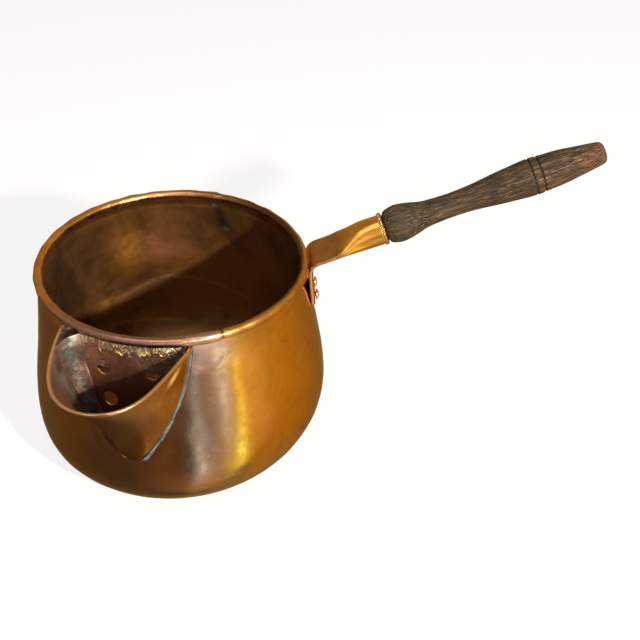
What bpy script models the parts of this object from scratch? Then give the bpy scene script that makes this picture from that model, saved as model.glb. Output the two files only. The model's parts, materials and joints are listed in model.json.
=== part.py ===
"""Copper pouring saucepan: one raised pan with a wired rim, a soldered half-cone
spout with a strainer behind it, and a flattened-tube socket, riveted on, that
holds a turned wood handle.

Frame: origin at the centre of the base underside, +Z up, +X along the handle.
Lengths in the tables are millimetres; MM turns them into Blender metres.
"""

import math

import bmesh
import bpy
import numpy as np
from mathutils import Matrix, Vector

MM = 0.001
GAP = 0.3  # clearance between pieces that touch

# ---- pan body ----
SHEET = 1.2  # copper wall
BASE_SHEET = 1.4
PAN_STEPS = 72
OUTSIDE = [  # (radius, height) of the outer face, base to neck
    (70.0, 0.0), (74.5, 0.15), (78.2, 1.3), (82.6, 4.6), (87.6, 9.6), (92.4, 15.2),
    (96.2, 21.2), (99.2, 28.0), (101.0, 35.0), (101.9, 42.0), (102.1, 49.0),
    (101.6, 58.0), (100.4, 68.0), (98.9, 78.0), (97.2, 87.5), (95.4, 97.5),
    (93.3, 109.5), (91.5, 120.0), (90.0, 128.5), (88.5, 135.0), (87.5, 138.2),
    (86.4, 141.2), (85.6, 143.2),
]
# ---- rim: the sheet is rolled outward over a wire ----
BEAD_R, BEAD_Z = 87.0, 145.6
BEAD_OUT = 3.2
WIRE_ROOM = 2.1
WIRE_RADIUS = 1.72
CURL_FROM, CURL_TO, CURL_STEPS = 200.0, -100.0, 10
# ---- spout ----
SPOUT_AZ = -109.4  # its middle, round the pan
SPOUT_SHEET = 1.3
TIP_Z = 60.0
TIP_SHIFT = 5.5  # the point sits a little to the handle side of the middle
LIP_POWER = 1.45  # above 1: the spout flares towards its lip
LIP_HEM = 2.5  # folded edge
HEM_DEPTH = 3.0
LIP = [  # (across, outward, height) of the lip's middle line
    (-39.6, 83.0, 142.8), (-37.9, 94.1, 141.9), (-35.2, 105.1, 141.0), (-31.5, 116.2, 140.2),
    (-26.9, 126.0, 139.4), (-21.0, 134.4, 138.7), (-14.4, 139.8, 138.3), (-8.0, 142.6, 138.1),
    (-1.4, 143.8, 138.0), (5.4, 143.6, 138.0), (12.8, 141.6, 138.2), (19.8, 137.6, 138.5),
    (25.2, 132.3, 138.9), (29.2, 126.2, 139.4), (32.4, 118.8, 140.0), (35.0, 109.8, 140.7),
    (37.4, 100.0, 141.4), (39.4, 90.0, 142.2), (41.0, 82.6, 142.8),
]
HALF_WIDTH = [  # (share of the way from point to lip, share of the lip's half width)
    (0.0, 0.09), (0.03, 0.17), (0.1, 0.285), (0.198, 0.42), (0.32, 0.566),
    (0.454, 0.704), (0.596, 0.82), (0.712, 0.9), (0.82, 0.955), (0.926, 0.985), (1.0, 1.0),
]
# ---- strainer ----
HOLE_DIAMETER = 9.5
HOLES = [(-116.8, 124.1), (-97.0, 125.2), (-114.6, 102.8), (-97.4, 103.4)]  # azimuth, height
# ---- solder ----
FILLET_R = 1.15
RIM_FILLET_R = 0.9
# ---- handle socket: a copper tube, hammered flat at one end and bent down the wall ----
TUBE_R, TUBE_WALL = 10.0, 1.0
STRAP_HALF_W, STRAP_HALF_T = 14.6, 1.45
STRAP_X_LOW, STRAP_X_HIGH = 94.35, 93.0  # middle of the strap at its foot and at the bend
STRAP_FOOT_Z, BEND_Z = 114.0, 141.4
BEND_R, SOCKET_SLOPE = 8.0, 23.0
SOCKET_LINE = [(104.5, 151.6), (108.0, 153.2), (111.5, 154.8), (115.5, 156.5), (120.0, 158.5), (124.6, 160.4)]
MOUTH = (141.0, 166.7)
HANDLE_SLOPE = 21.05
# ---- rivets and brad ----
RIVET_Y, RIVET_Z = 7.3, 119.7
RIVET_SHANK_R, RIVET_HEAD_R, RIVET_HEAD_H = 1.6, 3.6, 1.8
RIVET_HOLE_R = 1.95
BRAD_BACK, BRAD_R, BRAD_HEAD_R = 9.0, 0.9, 1.9
# ---- wood handle ----
WOOD_START = 0.9  # along the handle from the tube's mouth
TENON_LONG, TENON_R = 17.0, 8.45
WOOD = [  # (distance from the mouth, radius)
    (0.9, 9.6), (2.0, 10.8), (4.7, 11.8), (8.1, 12.5), (11.7, 12.5), (15.1, 12.0),
    (18.5, 11.3), (22.0, 10.4), (25.5, 9.4), (29.0, 8.8), (35.7, 8.35), (42.5, 8.05),
    (49.4, 8.05), (56.3, 8.35), (63.0, 8.8), (69.9, 9.6), (76.6, 10.4), (83.4, 11.0),
    (90.0, 11.6), (97.0, 12.15), (100.0, 12.3), (100.7, 11.6), (101.4, 12.3), (103.5, 12.3),
    (105.5, 12.15), (106.2, 11.4), (106.9, 12.0), (110.0, 11.7), (116.8, 11.4), (123.4, 10.8),
    (130.0, 9.8), (136.6, 8.9), (143.2, 7.9), (146.5, 7.2), (147.9, 6.3), (148.6, 5.0),
]

COPPER = (0.47, 0.16, 0.045)
COPPER_DARK = (0.30, 0.10, 0.035)
SOLDER = (0.30, 0.32, 0.35)
IRON = (0.20, 0.19, 0.18)
WOOD_BROWN = (0.075, 0.045, 0.028)


def clear_scene():
    for ob in list(bpy.data.objects):
        bpy.data.objects.remove(ob, do_unlink=True)


def material(name, colour, rough, metal):
    mat = bpy.data.materials.new(name)
    mat.use_nodes = True
    bsdf = mat.node_tree.nodes["Principled BSDF"]
    bsdf.inputs["Base Color"].default_value = (*colour, 1.0)
    bsdf.inputs["Roughness"].default_value = rough
    bsdf.inputs["Metallic"].default_value = metal
    mat.diffuse_color = (*colour, 1.0)
    return mat


def collection(name, helper=False):
    col = bpy.data.collections.new(name)
    bpy.context.scene.collection.children.link(col)
    col.hide_render = helper
    return col


def add(name, mesh, col, mat=None, matrix=None):
    ob = bpy.data.objects.new(name, mesh)
    col.objects.link(ob)
    if mat:
        mesh.materials.append(mat)
    if matrix is not None:
        ob.matrix_world = matrix
    return ob


def helper(name, mesh, matrix=None):
    ob = add(name, mesh, HELPERS, matrix=matrix)
    ob.hide_render = True
    ob.display_type = "WIRE"
    return ob


def boolean(ob, cutter, operation="DIFFERENCE"):
    mod = ob.modifiers.new(operation.title() + "_" + cutter.name, "BOOLEAN")
    mod.object = cutter
    mod.operation = operation
    mod.solver = "EXACT"
    return mod


def turned(name, profile, col, steps, mat=None, matrix=None, closed=False):
    """A profile of (radius, height) in mm turned about local Z. An open one starts and ends on the axis."""
    mesh = bpy.data.meshes.new(name)
    bm = bmesh.new()
    verts = [bm.verts.new((r * MM, 0.0, z * MM)) for r, z in profile]
    for a, b in zip(verts, verts[1:]):
        bm.edges.new((a, b))
    if closed:
        bm.edges.new((verts[-1], verts[0]))
    bm.to_mesh(mesh)
    bm.free()
    ob = add(name, mesh, col, mat, matrix)
    if col is HELPERS:
        ob.hide_render = True
        ob.display_type = "WIRE"
    screw = ob.modifiers.new("Turn", "SCREW")
    screw.axis = "Z"
    screw.steps = steps
    screw.render_steps = steps
    screw.use_merge_vertices = True
    screw.merge_threshold = 1e-6
    screw.use_normal_calculate = False
    screw.use_smooth_shade = False
    area = sum(a[0] * b[1] - b[0] * a[1] for a, b in zip(profile, profile[1:] + profile[:1]))
    screw.use_normal_flip = bool(area > 0)
    return ob


def offset(path, by):
    """The path moved sideways by a distance, to the left of its direction."""
    pts = np.array(path, float)
    d = np.gradient(pts, axis=0)
    d /= np.linalg.norm(d, axis=1)[:, None]
    return pts + np.stack([-d[:, 1], d[:, 0]], 1) * by


def lofted(name, rings, col, mat=None, matrix=None):
    """A closed skin over rings of points in mm, from a grid primitive whose ends meet, with both ends capped."""
    rows, around = len(rings), len(rings[0])
    bm = bmesh.new()
    bmesh.ops.create_grid(bm, x_segments=rows - 1, y_segments=around, size=1.0)
    verts = sorted(bm.verts, key=lambda v: (round(v.co.x, 5), round(v.co.y, 5)))
    per = around + 1
    for i in range(rows):
        for j in range(per):
            verts[i * per + j].co = Vector(rings[i][j % around]) * MM
    bmesh.ops.remove_doubles(bm, verts=bm.verts, dist=1e-7)
    bmesh.ops.holes_fill(bm, edges=[e for e in bm.edges if e.is_boundary], sides=0)
    bmesh.ops.triangulate(bm, faces=[f for f in bm.faces if len(f.verts) > 4])
    bmesh.ops.recalc_face_normals(bm, faces=bm.faces)
    mesh = bpy.data.meshes.new(name)
    bm.to_mesh(mesh)
    bm.free()
    if col is HELPERS:
        return helper(name, mesh, matrix)
    return add(name, mesh, col, mat, matrix)


def rod(name, radius, length, matrix, segments=24):
    """A cylinder helper along local Z, centred on its matrix."""
    bm = bmesh.new()
    bmesh.ops.create_cone(bm, cap_ends=True, segments=segments, radius1=radius * MM, radius2=radius * MM, depth=length * MM)
    mesh = bpy.data.meshes.new(name)
    bm.to_mesh(mesh)
    bm.free()
    return helper(name, mesh, matrix)


def bead_wire(name, points, radius, mat, cyclic=False):
    """A run of round section through points in mm: a poly curve with a bevel and filled caps."""
    curve = bpy.data.curves.new(name, "CURVE")
    curve.dimensions = "3D"
    curve.bevel_depth = radius * MM
    curve.bevel_resolution = 2
    curve.resolution_u = 1
    curve.use_fill_caps = True
    spline = curve.splines.new("POLY")
    spline.points.add(len(points) - 1)
    for p, co in zip(spline.points, points):
        p.co = (*(Vector(co) * MM), 1.0)
    spline.use_cyclic_u = cyclic
    curve.materials.append(mat)
    ob = bpy.data.objects.new(name, curve)
    PARTS.objects.link(ob)
    return ob


def along(direction, at):
    """A matrix at a point in mm, with local Z along a direction."""
    turn = Vector(direction).to_track_quat("Z", "Y")
    return Matrix.Translation(Vector(at) * MM) @ turn.to_matrix().to_4x4()


def wall_radius(z):
    pts = np.array(OUTSIDE + [(BEAD_R - BEAD_OUT + 1.0, BEAD_Z)])
    return float(np.interp(z, pts[:, 1], pts[:, 0]))


def ring_point(az, r, z):
    a = math.radians(az)
    return (r * math.cos(a), r * math.sin(a), z)


# ---------------------------------------------------------------- pan
def bead_arc(radius, start, end, steps):
    return [
        (BEAD_R + radius * math.cos(math.radians(a)), BEAD_Z + radius * math.sin(math.radians(a)))
        for a in np.linspace(start, end, steps)
    ]


def make_pan():
    inside = [tuple(p) for p in offset(OUTSIDE, SHEET)]
    inside = [(70.0, BASE_SHEET)] + [p for p in inside if p[1] > BASE_SHEET + 0.2 and p[0] < 102 and p[1] < 143.0]
    profile = (
        [(0.0, 0.0)] + OUTSIDE
        + bead_arc(WIRE_ROOM, CURL_FROM, CURL_TO, CURL_STEPS)
        + bead_arc(BEAD_OUT, CURL_TO, CURL_FROM - 20.0, CURL_STEPS)
        + inside[::-1] + [(0.0, BASE_SHEET)]
    )
    pan = turned("pan_body", profile, PARTS, PAN_STEPS, MATS["copper"])
    for i, (az, z) in enumerate(HOLES):
        d = ring_point(az, 1.0, 0.0)
        boolean(pan, rod(f"strainer_cut_{i + 1}", HOLE_DIAMETER / 2, 14.0, along(d, ring_point(az, wall_radius(z), z)), 20))
    for side in (-1, 1):
        boolean(pan, rod(f"wall_rivet_cut_{(side + 3) // 2}", RIVET_HOLE_R, 12.0, along((1, 0, 0), (90.5, side * RIVET_Y, RIVET_Z)), 14))
    return pan


def make_rim_wire():
    bpy.ops.mesh.primitive_torus_add(
        major_segments=PAN_STEPS, minor_segments=8, major_radius=BEAD_R * MM, minor_radius=WIRE_RADIUS * MM,
        location=(0, 0, BEAD_Z * MM),
    )
    wire = bpy.context.active_object
    wire.name = "rim_wire"
    wire.data.name = "rim_wire"
    wire.data.materials.append(MATS["iron"])
    for col in list(wire.users_collection):
        col.objects.unlink(wire)
    PARTS.objects.link(wire)
    return wire


# ---------------------------------------------------------------- spout
def spout_axes():
    a = math.radians(SPOUT_AZ)
    return np.array([math.cos(a), math.sin(a), 0.0]), np.array([-math.sin(a), math.cos(a), 0.0])


def spout_point(t, s):
    """A point of the spout's middle surface: t from 0 to 1 along the lip, s from 0 at the point to 1 at the lip."""
    lip = np.array(LIP)
    i = np.linspace(0.0, 1.0, len(lip))
    across, out, top = (np.interp(t, i, lip[:, k]) for k in range(3))
    width = np.array(HALF_WIDTH)
    w = np.interp(s, width[:, 0], width[:, 1])
    z = TIP_Z + (top - TIP_Z) * s
    v = across * w + TIP_SHIFT * (1 - s) ** 2
    at_wall = math.sqrt(max(wall_radius(z) ** 2 - v * v, 1.0))
    at_lip = math.sqrt(max(wall_radius(top) ** 2 - across * across, 1.0))
    u = at_wall + (out - at_lip) * s ** LIP_POWER
    return np.array([v, u, z])


def to_world(p):
    ex, ey = spout_axes()
    return ex * p[1] + ey * p[0] + np.array([0.0, 0.0, p[2]])


def make_spout():
    ts = list(np.linspace(0.0, 1.0, 27))
    ss = [-0.02, 0.02, 0.06, 0.11, 0.17, 0.25, 0.34, 0.44, 0.54, 0.64, 0.73, 0.81, 0.88, 0.935, 0.965, 0.985, 1.0]
    grid = np.array([[spout_point(t, max(s, 0.0)) for s in ss] for t in ts])
    grid[:, 0, 1] -= 5.0
    grid[:, 0, 2] -= 2.0
    first, last = grid[:1].copy(), grid[-1:].copy()
    first[:, :, 1] -= 9.0
    first[:, :, 0] += 0.3
    last[:, :, 1] -= 9.0
    last[:, :, 0] -= 0.3
    grid = np.concatenate([first, grid, last])
    dt = np.gradient(grid, axis=0)
    ds = np.gradient(grid, axis=1)
    n = np.cross(dt, ds)
    n /= np.linalg.norm(n, axis=2)[:, :, None]
    if n[len(ts) // 2, 8, 1] < 0:
        n = -n
    thick = np.interp([max(s, 0) for s in ss], [0.0, 0.945, 0.962, 0.985, 1.0], [SPOUT_SHEET, SPOUT_SHEET, LIP_HEM, LIP_HEM, LIP_HEM * 0.55])
    rings = []
    for i in range(len(grid)):
        outer = [grid[i, j] + n[i, j] * (SPOUT_SHEET / 2 + (thick[j] - SPOUT_SHEET) * 0.8) for j in range(len(ss))]
        inner = [grid[i, j] - n[i, j] * (SPOUT_SHEET / 2 + (thick[j] - SPOUT_SHEET) * 0.2) for j in range(len(ss))]
        rings.append([tuple(to_world(p)) for p in outer + inner[::-1]])
    spout = lofted("spout", rings, PARTS, MATS["copper"])
    clear = [tuple(p) for p in offset(OUTSIDE, -GAP)]
    trim = turned(
        "spout_trim",
        [(0.0, -4.0), (60.0, -4.0)] + clear[2:-1]
        + bead_arc(BEAD_OUT + GAP, -88.0, 90.0, 10) + [(0.0, BEAD_Z + BEAD_OUT + GAP)],
        HELPERS, PAN_STEPS,
    )
    boolean(spout, trim).use_self = True
    return spout


def seam_point(side, s, away, out):
    """A point beside the joint of spout and wall, in mm: away from the spout along the wall, and out from the wall."""
    p = spout_point(0.0 if side < 0 else 1.0, s)
    z = p[2]
    r = wall_radius(z)
    az = SPOUT_AZ + math.degrees(math.asin(max(-1, min(1, p[0] / r)))) + side * math.degrees(away / r)
    return ring_point(az, r + out, z)


def make_solder():
    away = SPOUT_SHEET / 2 + GAP + FILLET_R + 0.75
    out = FILLET_R + GAP + 0.25
    steps = np.linspace(0.0, 1.0, 22) ** 1.3
    for side, name in ((1, "solder_seam_right"), (-1, "solder_seam_left")):
        pts = []
        for s in 0.035 + steps * 0.905:
            # low down the joint runs nearly level, so the bead moves below it as well as beside it
            low = max(0.0, 1.0 - s / 0.25)
            p = np.array(seam_point(side, s, away * (1 - 0.5 * low), out))
            p[2] -= low * 2.2
            pts.append(tuple(p))
        bead_wire(name, pts, FILLET_R, MATS["solder"])
    z = BEAD_Z - BEAD_OUT - RIM_FILLET_R - 0.55
    span = [(SPOUT_AZ - 22.0, SPOUT_AZ + 22.0)]
    pts = [ring_point(a, wall_radius(z) + RIM_FILLET_R + GAP + 0.1, z) for a in np.linspace(*span[0], 15)]
    bead_wire("solder_seam_rim", pts, RIM_FILLET_R, MATS["solder"])


# ---------------------------------------------------------------- handle socket
def socket_stations():
    """(x, z, slope in degrees, half width, half thickness, squareness) from the foot of the strap to the mouth."""
    rows = [(STRAP_X_LOW, STRAP_FOOT_Z, 92.5, STRAP_HALF_W - 2.2, STRAP_HALF_T - 0.25, 5.0)]
    for z in (STRAP_FOOT_Z + 0.9, STRAP_FOOT_Z + 2.6, 125.0, 134.0):
        x = STRAP_X_LOW + (STRAP_X_HIGH - STRAP_X_LOW) * (z - STRAP_FOOT_Z) / (BEND_Z - STRAP_FOOT_Z)
        w = STRAP_HALF_W - (0.7 if z < STRAP_FOOT_Z + 1.5 else 0.0)
        rows.append((x, z, 92.5, w, STRAP_HALF_T, 5.0))
    for a in np.linspace(0.0, 90.0 - SOCKET_SLOPE, 7):
        x = STRAP_X_HIGH + BEND_R * (1 - math.cos(math.radians(a)))
        z = BEND_Z + BEND_R * math.sin(math.radians(a))
        rows.append((x, z, 90.0 - a, STRAP_HALF_W, STRAP_HALF_T + 0.05, 5.0))
    shape = [(14.6, 1.6, 5.0), (14.4, 2.1, 4.5), (14.1, 3.4, 3.4), (13.2, 5.4, 2.7), (12.0, 7.4, 2.3), (10.9, 9.0, 2.1)]
    for (x, z), (w, t, n) in zip(SOCKET_LINE, shape):
        rows.append((x, z, SOCKET_SLOPE, w, t, n))
    for k in (0.0, 0.33, 0.66, 1.0):
        x = 128.5 + (MOUTH[0] - 128.5) * k
        z = MOUTH[1] + (x - MOUTH[0]) * math.tan(math.radians(HANDLE_SLOPE))
        rows.append((x, z, HANDLE_SLOPE, TUBE_R + (0.3 if k == 0 else 0.0), TUBE_R - (0.2 if k == 0 else 0.0), 2.0))
    return rows


def section(x, z, slope, w, t, n, count=40):
    a = math.radians(slope)
    up = np.array([-math.sin(a), 0.0, math.cos(a)])
    ring = []
    for k in range(count):
        c, s = math.cos(2 * math.pi * k / count), math.sin(2 * math.pi * k / count)
        y = w * math.copysign(abs(c) ** (2 / n), c)
        h = t * math.copysign(abs(s) ** (2 / n), s)
        ring.append(tuple(np.array([x, y, z]) + up * h))
    return ring


def make_socket():
    rows = socket_stations()
    socket = lofted("handle_socket", [section(*r) for r in rows], PARTS, MATS["copper"])
    bore = []
    for x, z, slope, w, t, n in rows:
        if x > 110.0 and t > 2.5:
            bore.append(section(x, z, slope, w - TUBE_WALL - (1.0 if t < 4 else 0.0), t - TUBE_WALL, n))
    end = np.array([MOUTH[0], MOUTH[1]]) + 4.0 * np.array([math.cos(math.radians(HANDLE_SLOPE)), math.sin(math.radians(HANDLE_SLOPE))])
    bore.append(section(end[0], end[1], HANDLE_SLOPE, TUBE_R - TUBE_WALL, TUBE_R - TUBE_WALL, 2.0))
    boolean(socket, lofted("socket_bore", bore, HELPERS))
    for side in (-1, 1):
        boolean(socket, rod(f"strap_rivet_cut_{(side + 3) // 2}", RIVET_HOLE_R, 10.0, along((1, 0, 0), (94.2, side * RIVET_Y, RIVET_Z)), 14))
    boolean(socket, rod("brad_cut", BRAD_R + 0.4, 8.0, handle_frame(-BRAD_BACK, -TUBE_R), 12))
    return socket


def handle_frame(along_axis, above=0.0):
    """Matrix at a distance past the mouth and above the handle's axis, with local Z square to the axis, pointing up."""
    a = math.radians(HANDLE_SLOPE)
    axis = np.array([math.cos(a), 0.0, math.sin(a)])
    up = np.array([-math.sin(a), 0.0, math.cos(a)])
    at = np.array([MOUTH[0], 0.0, MOUTH[1]]) + axis * along_axis + up * above
    return Matrix.Translation(Vector(at) * MM) @ Matrix.Rotation(-a, 4, "Y")


def axis_frame(along_axis=0.0):
    """Matrix at a distance past the mouth with local Z along the handle."""
    return handle_frame(along_axis) @ Matrix.Rotation(math.radians(90.0), 4, "Y")


def make_ferrule_ring():
    profile = [(TUBE_R + GAP, -2.6), (TUBE_R + 0.95, -2.6), (TUBE_R + 1.3, -2.1), (TUBE_R + 1.4, -1.4),
               (TUBE_R + 1.3, -0.7), (TUBE_R + 0.95, -0.2), (TUBE_R + GAP, -0.2)]
    return turned("ferrule_ring", profile, PARTS, 48, MATS["copper"], axis_frame(), closed=True)


def make_wood():
    profile = [(0.0, -TENON_LONG), (TENON_R - 1.2, -TENON_LONG), (TENON_R - 0.2, -TENON_LONG + 1.5), (TENON_R, -TENON_LONG + 4.0),
               (TENON_R, WOOD_START - 0.5)]
    profile += [(r, s) for s, r in WOOD] + [(0.0, WOOD[-1][0])]
    wood = turned("wood_handle", profile, PARTS, 36, MATS["wood"], axis_frame())
    boolean(wood, rod("brad_hole", BRAD_R + 0.4, 6.0, handle_frame(-BRAD_BACK, -TENON_R), 12))
    return wood


# ---------------------------------------------------------------- fastenings
def make_rivet(name, side):
    inner = 88.7
    outer = STRAP_X_LOW + STRAP_HALF_T + GAP
    h = RIVET_HEAD_H
    profile = [
        (0.0, inner - 1.2), (1.9, inner - 1.05), (3.0, inner - 0.6), (3.5, inner), (RIVET_SHANK_R, inner),
        (RIVET_SHANK_R, outer), (RIVET_HEAD_R, outer), (RIVET_HEAD_R * 0.94, outer + h * 0.4), (RIVET_HEAD_R * 0.7, outer + h * 0.78),
        (RIVET_HEAD_R * 0.36, outer + h * 0.96), (0.0, outer + h),
    ]
    profile = [(r, x - 90.0) for r, x in profile]
    return turned(name, profile, PARTS, 20, MATS["copper"], along((1, 0, 0), (90.0, side * RIVET_Y, RIVET_Z)))


def make_brad():
    low = -TUBE_R - GAP
    profile = [(0.0, low - 0.7), (BRAD_HEAD_R * 0.8, low - 0.7), (BRAD_HEAD_R, low - 0.3), (BRAD_HEAD_R, low), (BRAD_R, low),
               (BRAD_R, low + 3.6), (0.3, low + 4.5), (0.0, low + 4.5)]
    return turned("handle_brad", profile, PARTS, 16, MATS["iron"], handle_frame(-BRAD_BACK))


clear_scene()
PARTS = collection("saucepan")
HELPERS = collection("cutters", helper=True)
MATS = {
    "copper": material("copper", COPPER, 0.3, 1.0),
    "solder": material("solder", SOLDER, 0.45, 1.0),
    "iron": material("iron_wire", IRON, 0.55, 1.0),
    "wood": material("dark_wood", WOOD_BROWN, 0.65, 0.0),
}
make_pan()
make_rim_wire()
make_spout()
make_solder()
make_socket()
make_ferrule_ring()
make_wood()
make_rivet("rivet_near", -1)
make_rivet("rivet_far", 1)
make_brad()
bpy.context.view_layer.update()
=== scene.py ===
import json
import math

import bmesh
import bpy
import numpy as np
from mathutils import Matrix, Vector

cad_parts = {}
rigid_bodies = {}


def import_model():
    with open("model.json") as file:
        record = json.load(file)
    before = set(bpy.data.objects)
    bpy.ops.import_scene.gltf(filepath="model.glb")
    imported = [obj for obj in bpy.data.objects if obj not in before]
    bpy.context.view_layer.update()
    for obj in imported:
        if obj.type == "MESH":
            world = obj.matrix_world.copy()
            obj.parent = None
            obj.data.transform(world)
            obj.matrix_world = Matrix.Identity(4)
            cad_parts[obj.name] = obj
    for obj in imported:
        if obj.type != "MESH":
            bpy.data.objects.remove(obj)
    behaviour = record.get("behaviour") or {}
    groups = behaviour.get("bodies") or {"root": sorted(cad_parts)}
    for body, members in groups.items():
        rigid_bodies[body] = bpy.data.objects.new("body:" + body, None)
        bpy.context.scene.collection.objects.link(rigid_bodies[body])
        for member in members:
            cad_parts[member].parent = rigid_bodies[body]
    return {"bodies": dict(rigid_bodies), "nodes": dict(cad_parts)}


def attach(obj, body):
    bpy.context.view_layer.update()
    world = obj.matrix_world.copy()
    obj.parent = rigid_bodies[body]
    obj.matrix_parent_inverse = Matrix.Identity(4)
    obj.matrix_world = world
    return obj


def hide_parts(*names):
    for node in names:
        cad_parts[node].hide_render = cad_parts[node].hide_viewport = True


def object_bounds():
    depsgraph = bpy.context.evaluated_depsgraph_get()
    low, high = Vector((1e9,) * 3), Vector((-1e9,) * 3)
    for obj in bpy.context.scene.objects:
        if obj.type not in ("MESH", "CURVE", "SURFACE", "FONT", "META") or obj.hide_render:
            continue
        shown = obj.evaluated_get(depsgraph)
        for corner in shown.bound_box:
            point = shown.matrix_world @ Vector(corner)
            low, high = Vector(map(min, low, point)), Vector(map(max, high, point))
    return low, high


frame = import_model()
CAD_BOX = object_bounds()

MM = 0.001
RNG = np.random.RandomState(7)

# ------------------------------------------------------------ dimensions (mm), as in the CAD
SHEET, BASE_SHEET = 1.2, 1.4
OUTSIDE = [
    (70.0, 0.0), (74.5, 0.15), (78.2, 1.3), (82.6, 4.6), (87.6, 9.6), (92.4, 15.2),
    (96.2, 21.2), (99.2, 28.0), (101.0, 35.0), (101.9, 42.0), (102.1, 49.0),
    (101.6, 58.0), (100.4, 68.0), (98.9, 78.0), (97.2, 87.5), (95.4, 97.5),
    (93.3, 109.5), (91.5, 120.0), (90.0, 128.5), (88.5, 135.0), (87.5, 138.2),
    (86.4, 141.2), (85.6, 143.2),
]
BEAD_R, BEAD_Z, BEAD_OUT, WIRE_ROOM, WIRE_RADIUS = 87.0, 145.6, 3.2, 2.1, 1.72
CURL_FROM, CURL_TO = 200.0, -100.0
SPOUT_AZ, SPOUT_SHEET, TIP_Z, TIP_SHIFT, LIP_POWER = -109.4, 1.3, 60.0, 5.5, 1.45
LIP = [
    (-39.6, 83.0, 142.8), (-37.9, 94.1, 141.9), (-35.2, 105.1, 141.0), (-31.5, 116.2, 140.2),
    (-26.9, 126.0, 139.4), (-21.0, 134.4, 138.7), (-14.4, 139.8, 138.3), (-8.0, 142.6, 138.1),
    (-1.4, 143.8, 138.0), (5.4, 143.6, 138.0), (12.8, 141.6, 138.2), (19.8, 137.6, 138.5),
    (25.2, 132.3, 138.9), (29.2, 126.2, 139.4), (32.4, 118.8, 140.0), (35.0, 109.8, 140.7),
    (37.4, 100.0, 141.4), (39.4, 90.0, 142.2), (41.0, 82.6, 142.8),
]
HALF_WIDTH = [
    (0.0, 0.09), (0.03, 0.17), (0.1, 0.285), (0.198, 0.42), (0.32, 0.566),
    (0.454, 0.704), (0.596, 0.82), (0.712, 0.9), (0.82, 0.955), (0.926, 0.985), (1.0, 1.0),
]
HOLE_DIAMETER = 9.5
HOLES = [(-116.8, 124.1), (-97.0, 125.2), (-114.6, 102.8), (-97.4, 103.4)]
TUBE_R, TUBE_WALL = 10.0, 1.0
STRAP_HALF_W, STRAP_HALF_T = 14.6, 1.45
STRAP_X_LOW, STRAP_X_HIGH = 94.35, 93.0
STRAP_FOOT_Z, BEND_Z, BEND_R, SOCKET_SLOPE = 114.0, 141.4, 8.0, 23.0
SOCKET_LINE = [(104.5, 151.6), (108.0, 153.2), (111.5, 154.8), (115.5, 156.5), (120.0, 158.5), (124.6, 160.4)]
MOUTH, HANDLE_SLOPE = (141.0, 166.7), 21.05
RIVET_Y, RIVET_Z, RIVET_HEAD_R, RIVET_HEAD_H = 7.3, 119.7, 3.6, 1.8
WOOD = [
    (0.9, 9.6), (2.0, 10.8), (4.7, 11.8), (8.1, 12.5), (11.7, 12.5), (15.1, 12.0),
    (18.5, 11.3), (22.0, 10.4), (25.5, 9.4), (29.0, 8.8), (35.7, 8.35), (42.5, 8.05),
    (49.4, 8.05), (56.3, 8.35), (63.0, 8.8), (69.9, 9.6), (76.6, 10.4), (83.4, 11.0),
    (90.0, 11.6), (97.0, 12.15), (103.2, 12.3), (110.0, 11.75), (116.8, 11.4), (123.4, 10.8),
    (130.0, 9.8), (136.6, 8.9), (143.2, 7.9), (146.5, 7.2), (147.9, 6.3), (148.6, 5.0),
]
JOINT_AZ, JOINT_BACK_AZ = -68.8, 70.3  # where the rolled edge's ends lap


# ------------------------------------------------------------ mesh tools
def smooth_path(points, n, closed_ends=True):
    """A rounded path through points (Catmull-Rom by chord length), sampled evenly."""
    p = np.array(points, float)
    t = np.concatenate([[0], np.cumsum(np.maximum(np.linalg.norm(np.diff(p, axis=0), axis=1), 1e-6) ** 0.5)])
    m = np.gradient(p, t, axis=0)
    fine_t = np.linspace(0, t[-1], n * 12)
    i = np.clip(np.searchsorted(t, fine_t, side="right") - 1, 0, len(t) - 2)
    h = (t[i + 1] - t[i])[:, None]
    x = ((fine_t - t[i])[:, None]) / h
    a = (2 * x**3 - 3 * x**2 + 1) * p[i] + (x**3 - 2 * x**2 + x) * h * m[i] + (-2 * x**3 + 3 * x**2) * p[i + 1] + (x**3 - x**2) * h * m[i + 1]
    d = np.concatenate([[0], np.cumsum(np.linalg.norm(np.diff(a, axis=0), axis=1))])
    want = np.linspace(0, d[-1], n)
    return np.stack([np.interp(want, d, a[:, k]) for k in range(p.shape[1])], 1)


def offset(path, by):
    d = np.gradient(path, axis=0)
    d /= np.maximum(np.linalg.norm(d, axis=1), 1e-9)[:, None]
    return path + np.stack([-d[:, 1], d[:, 0]], 1) * by


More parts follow.
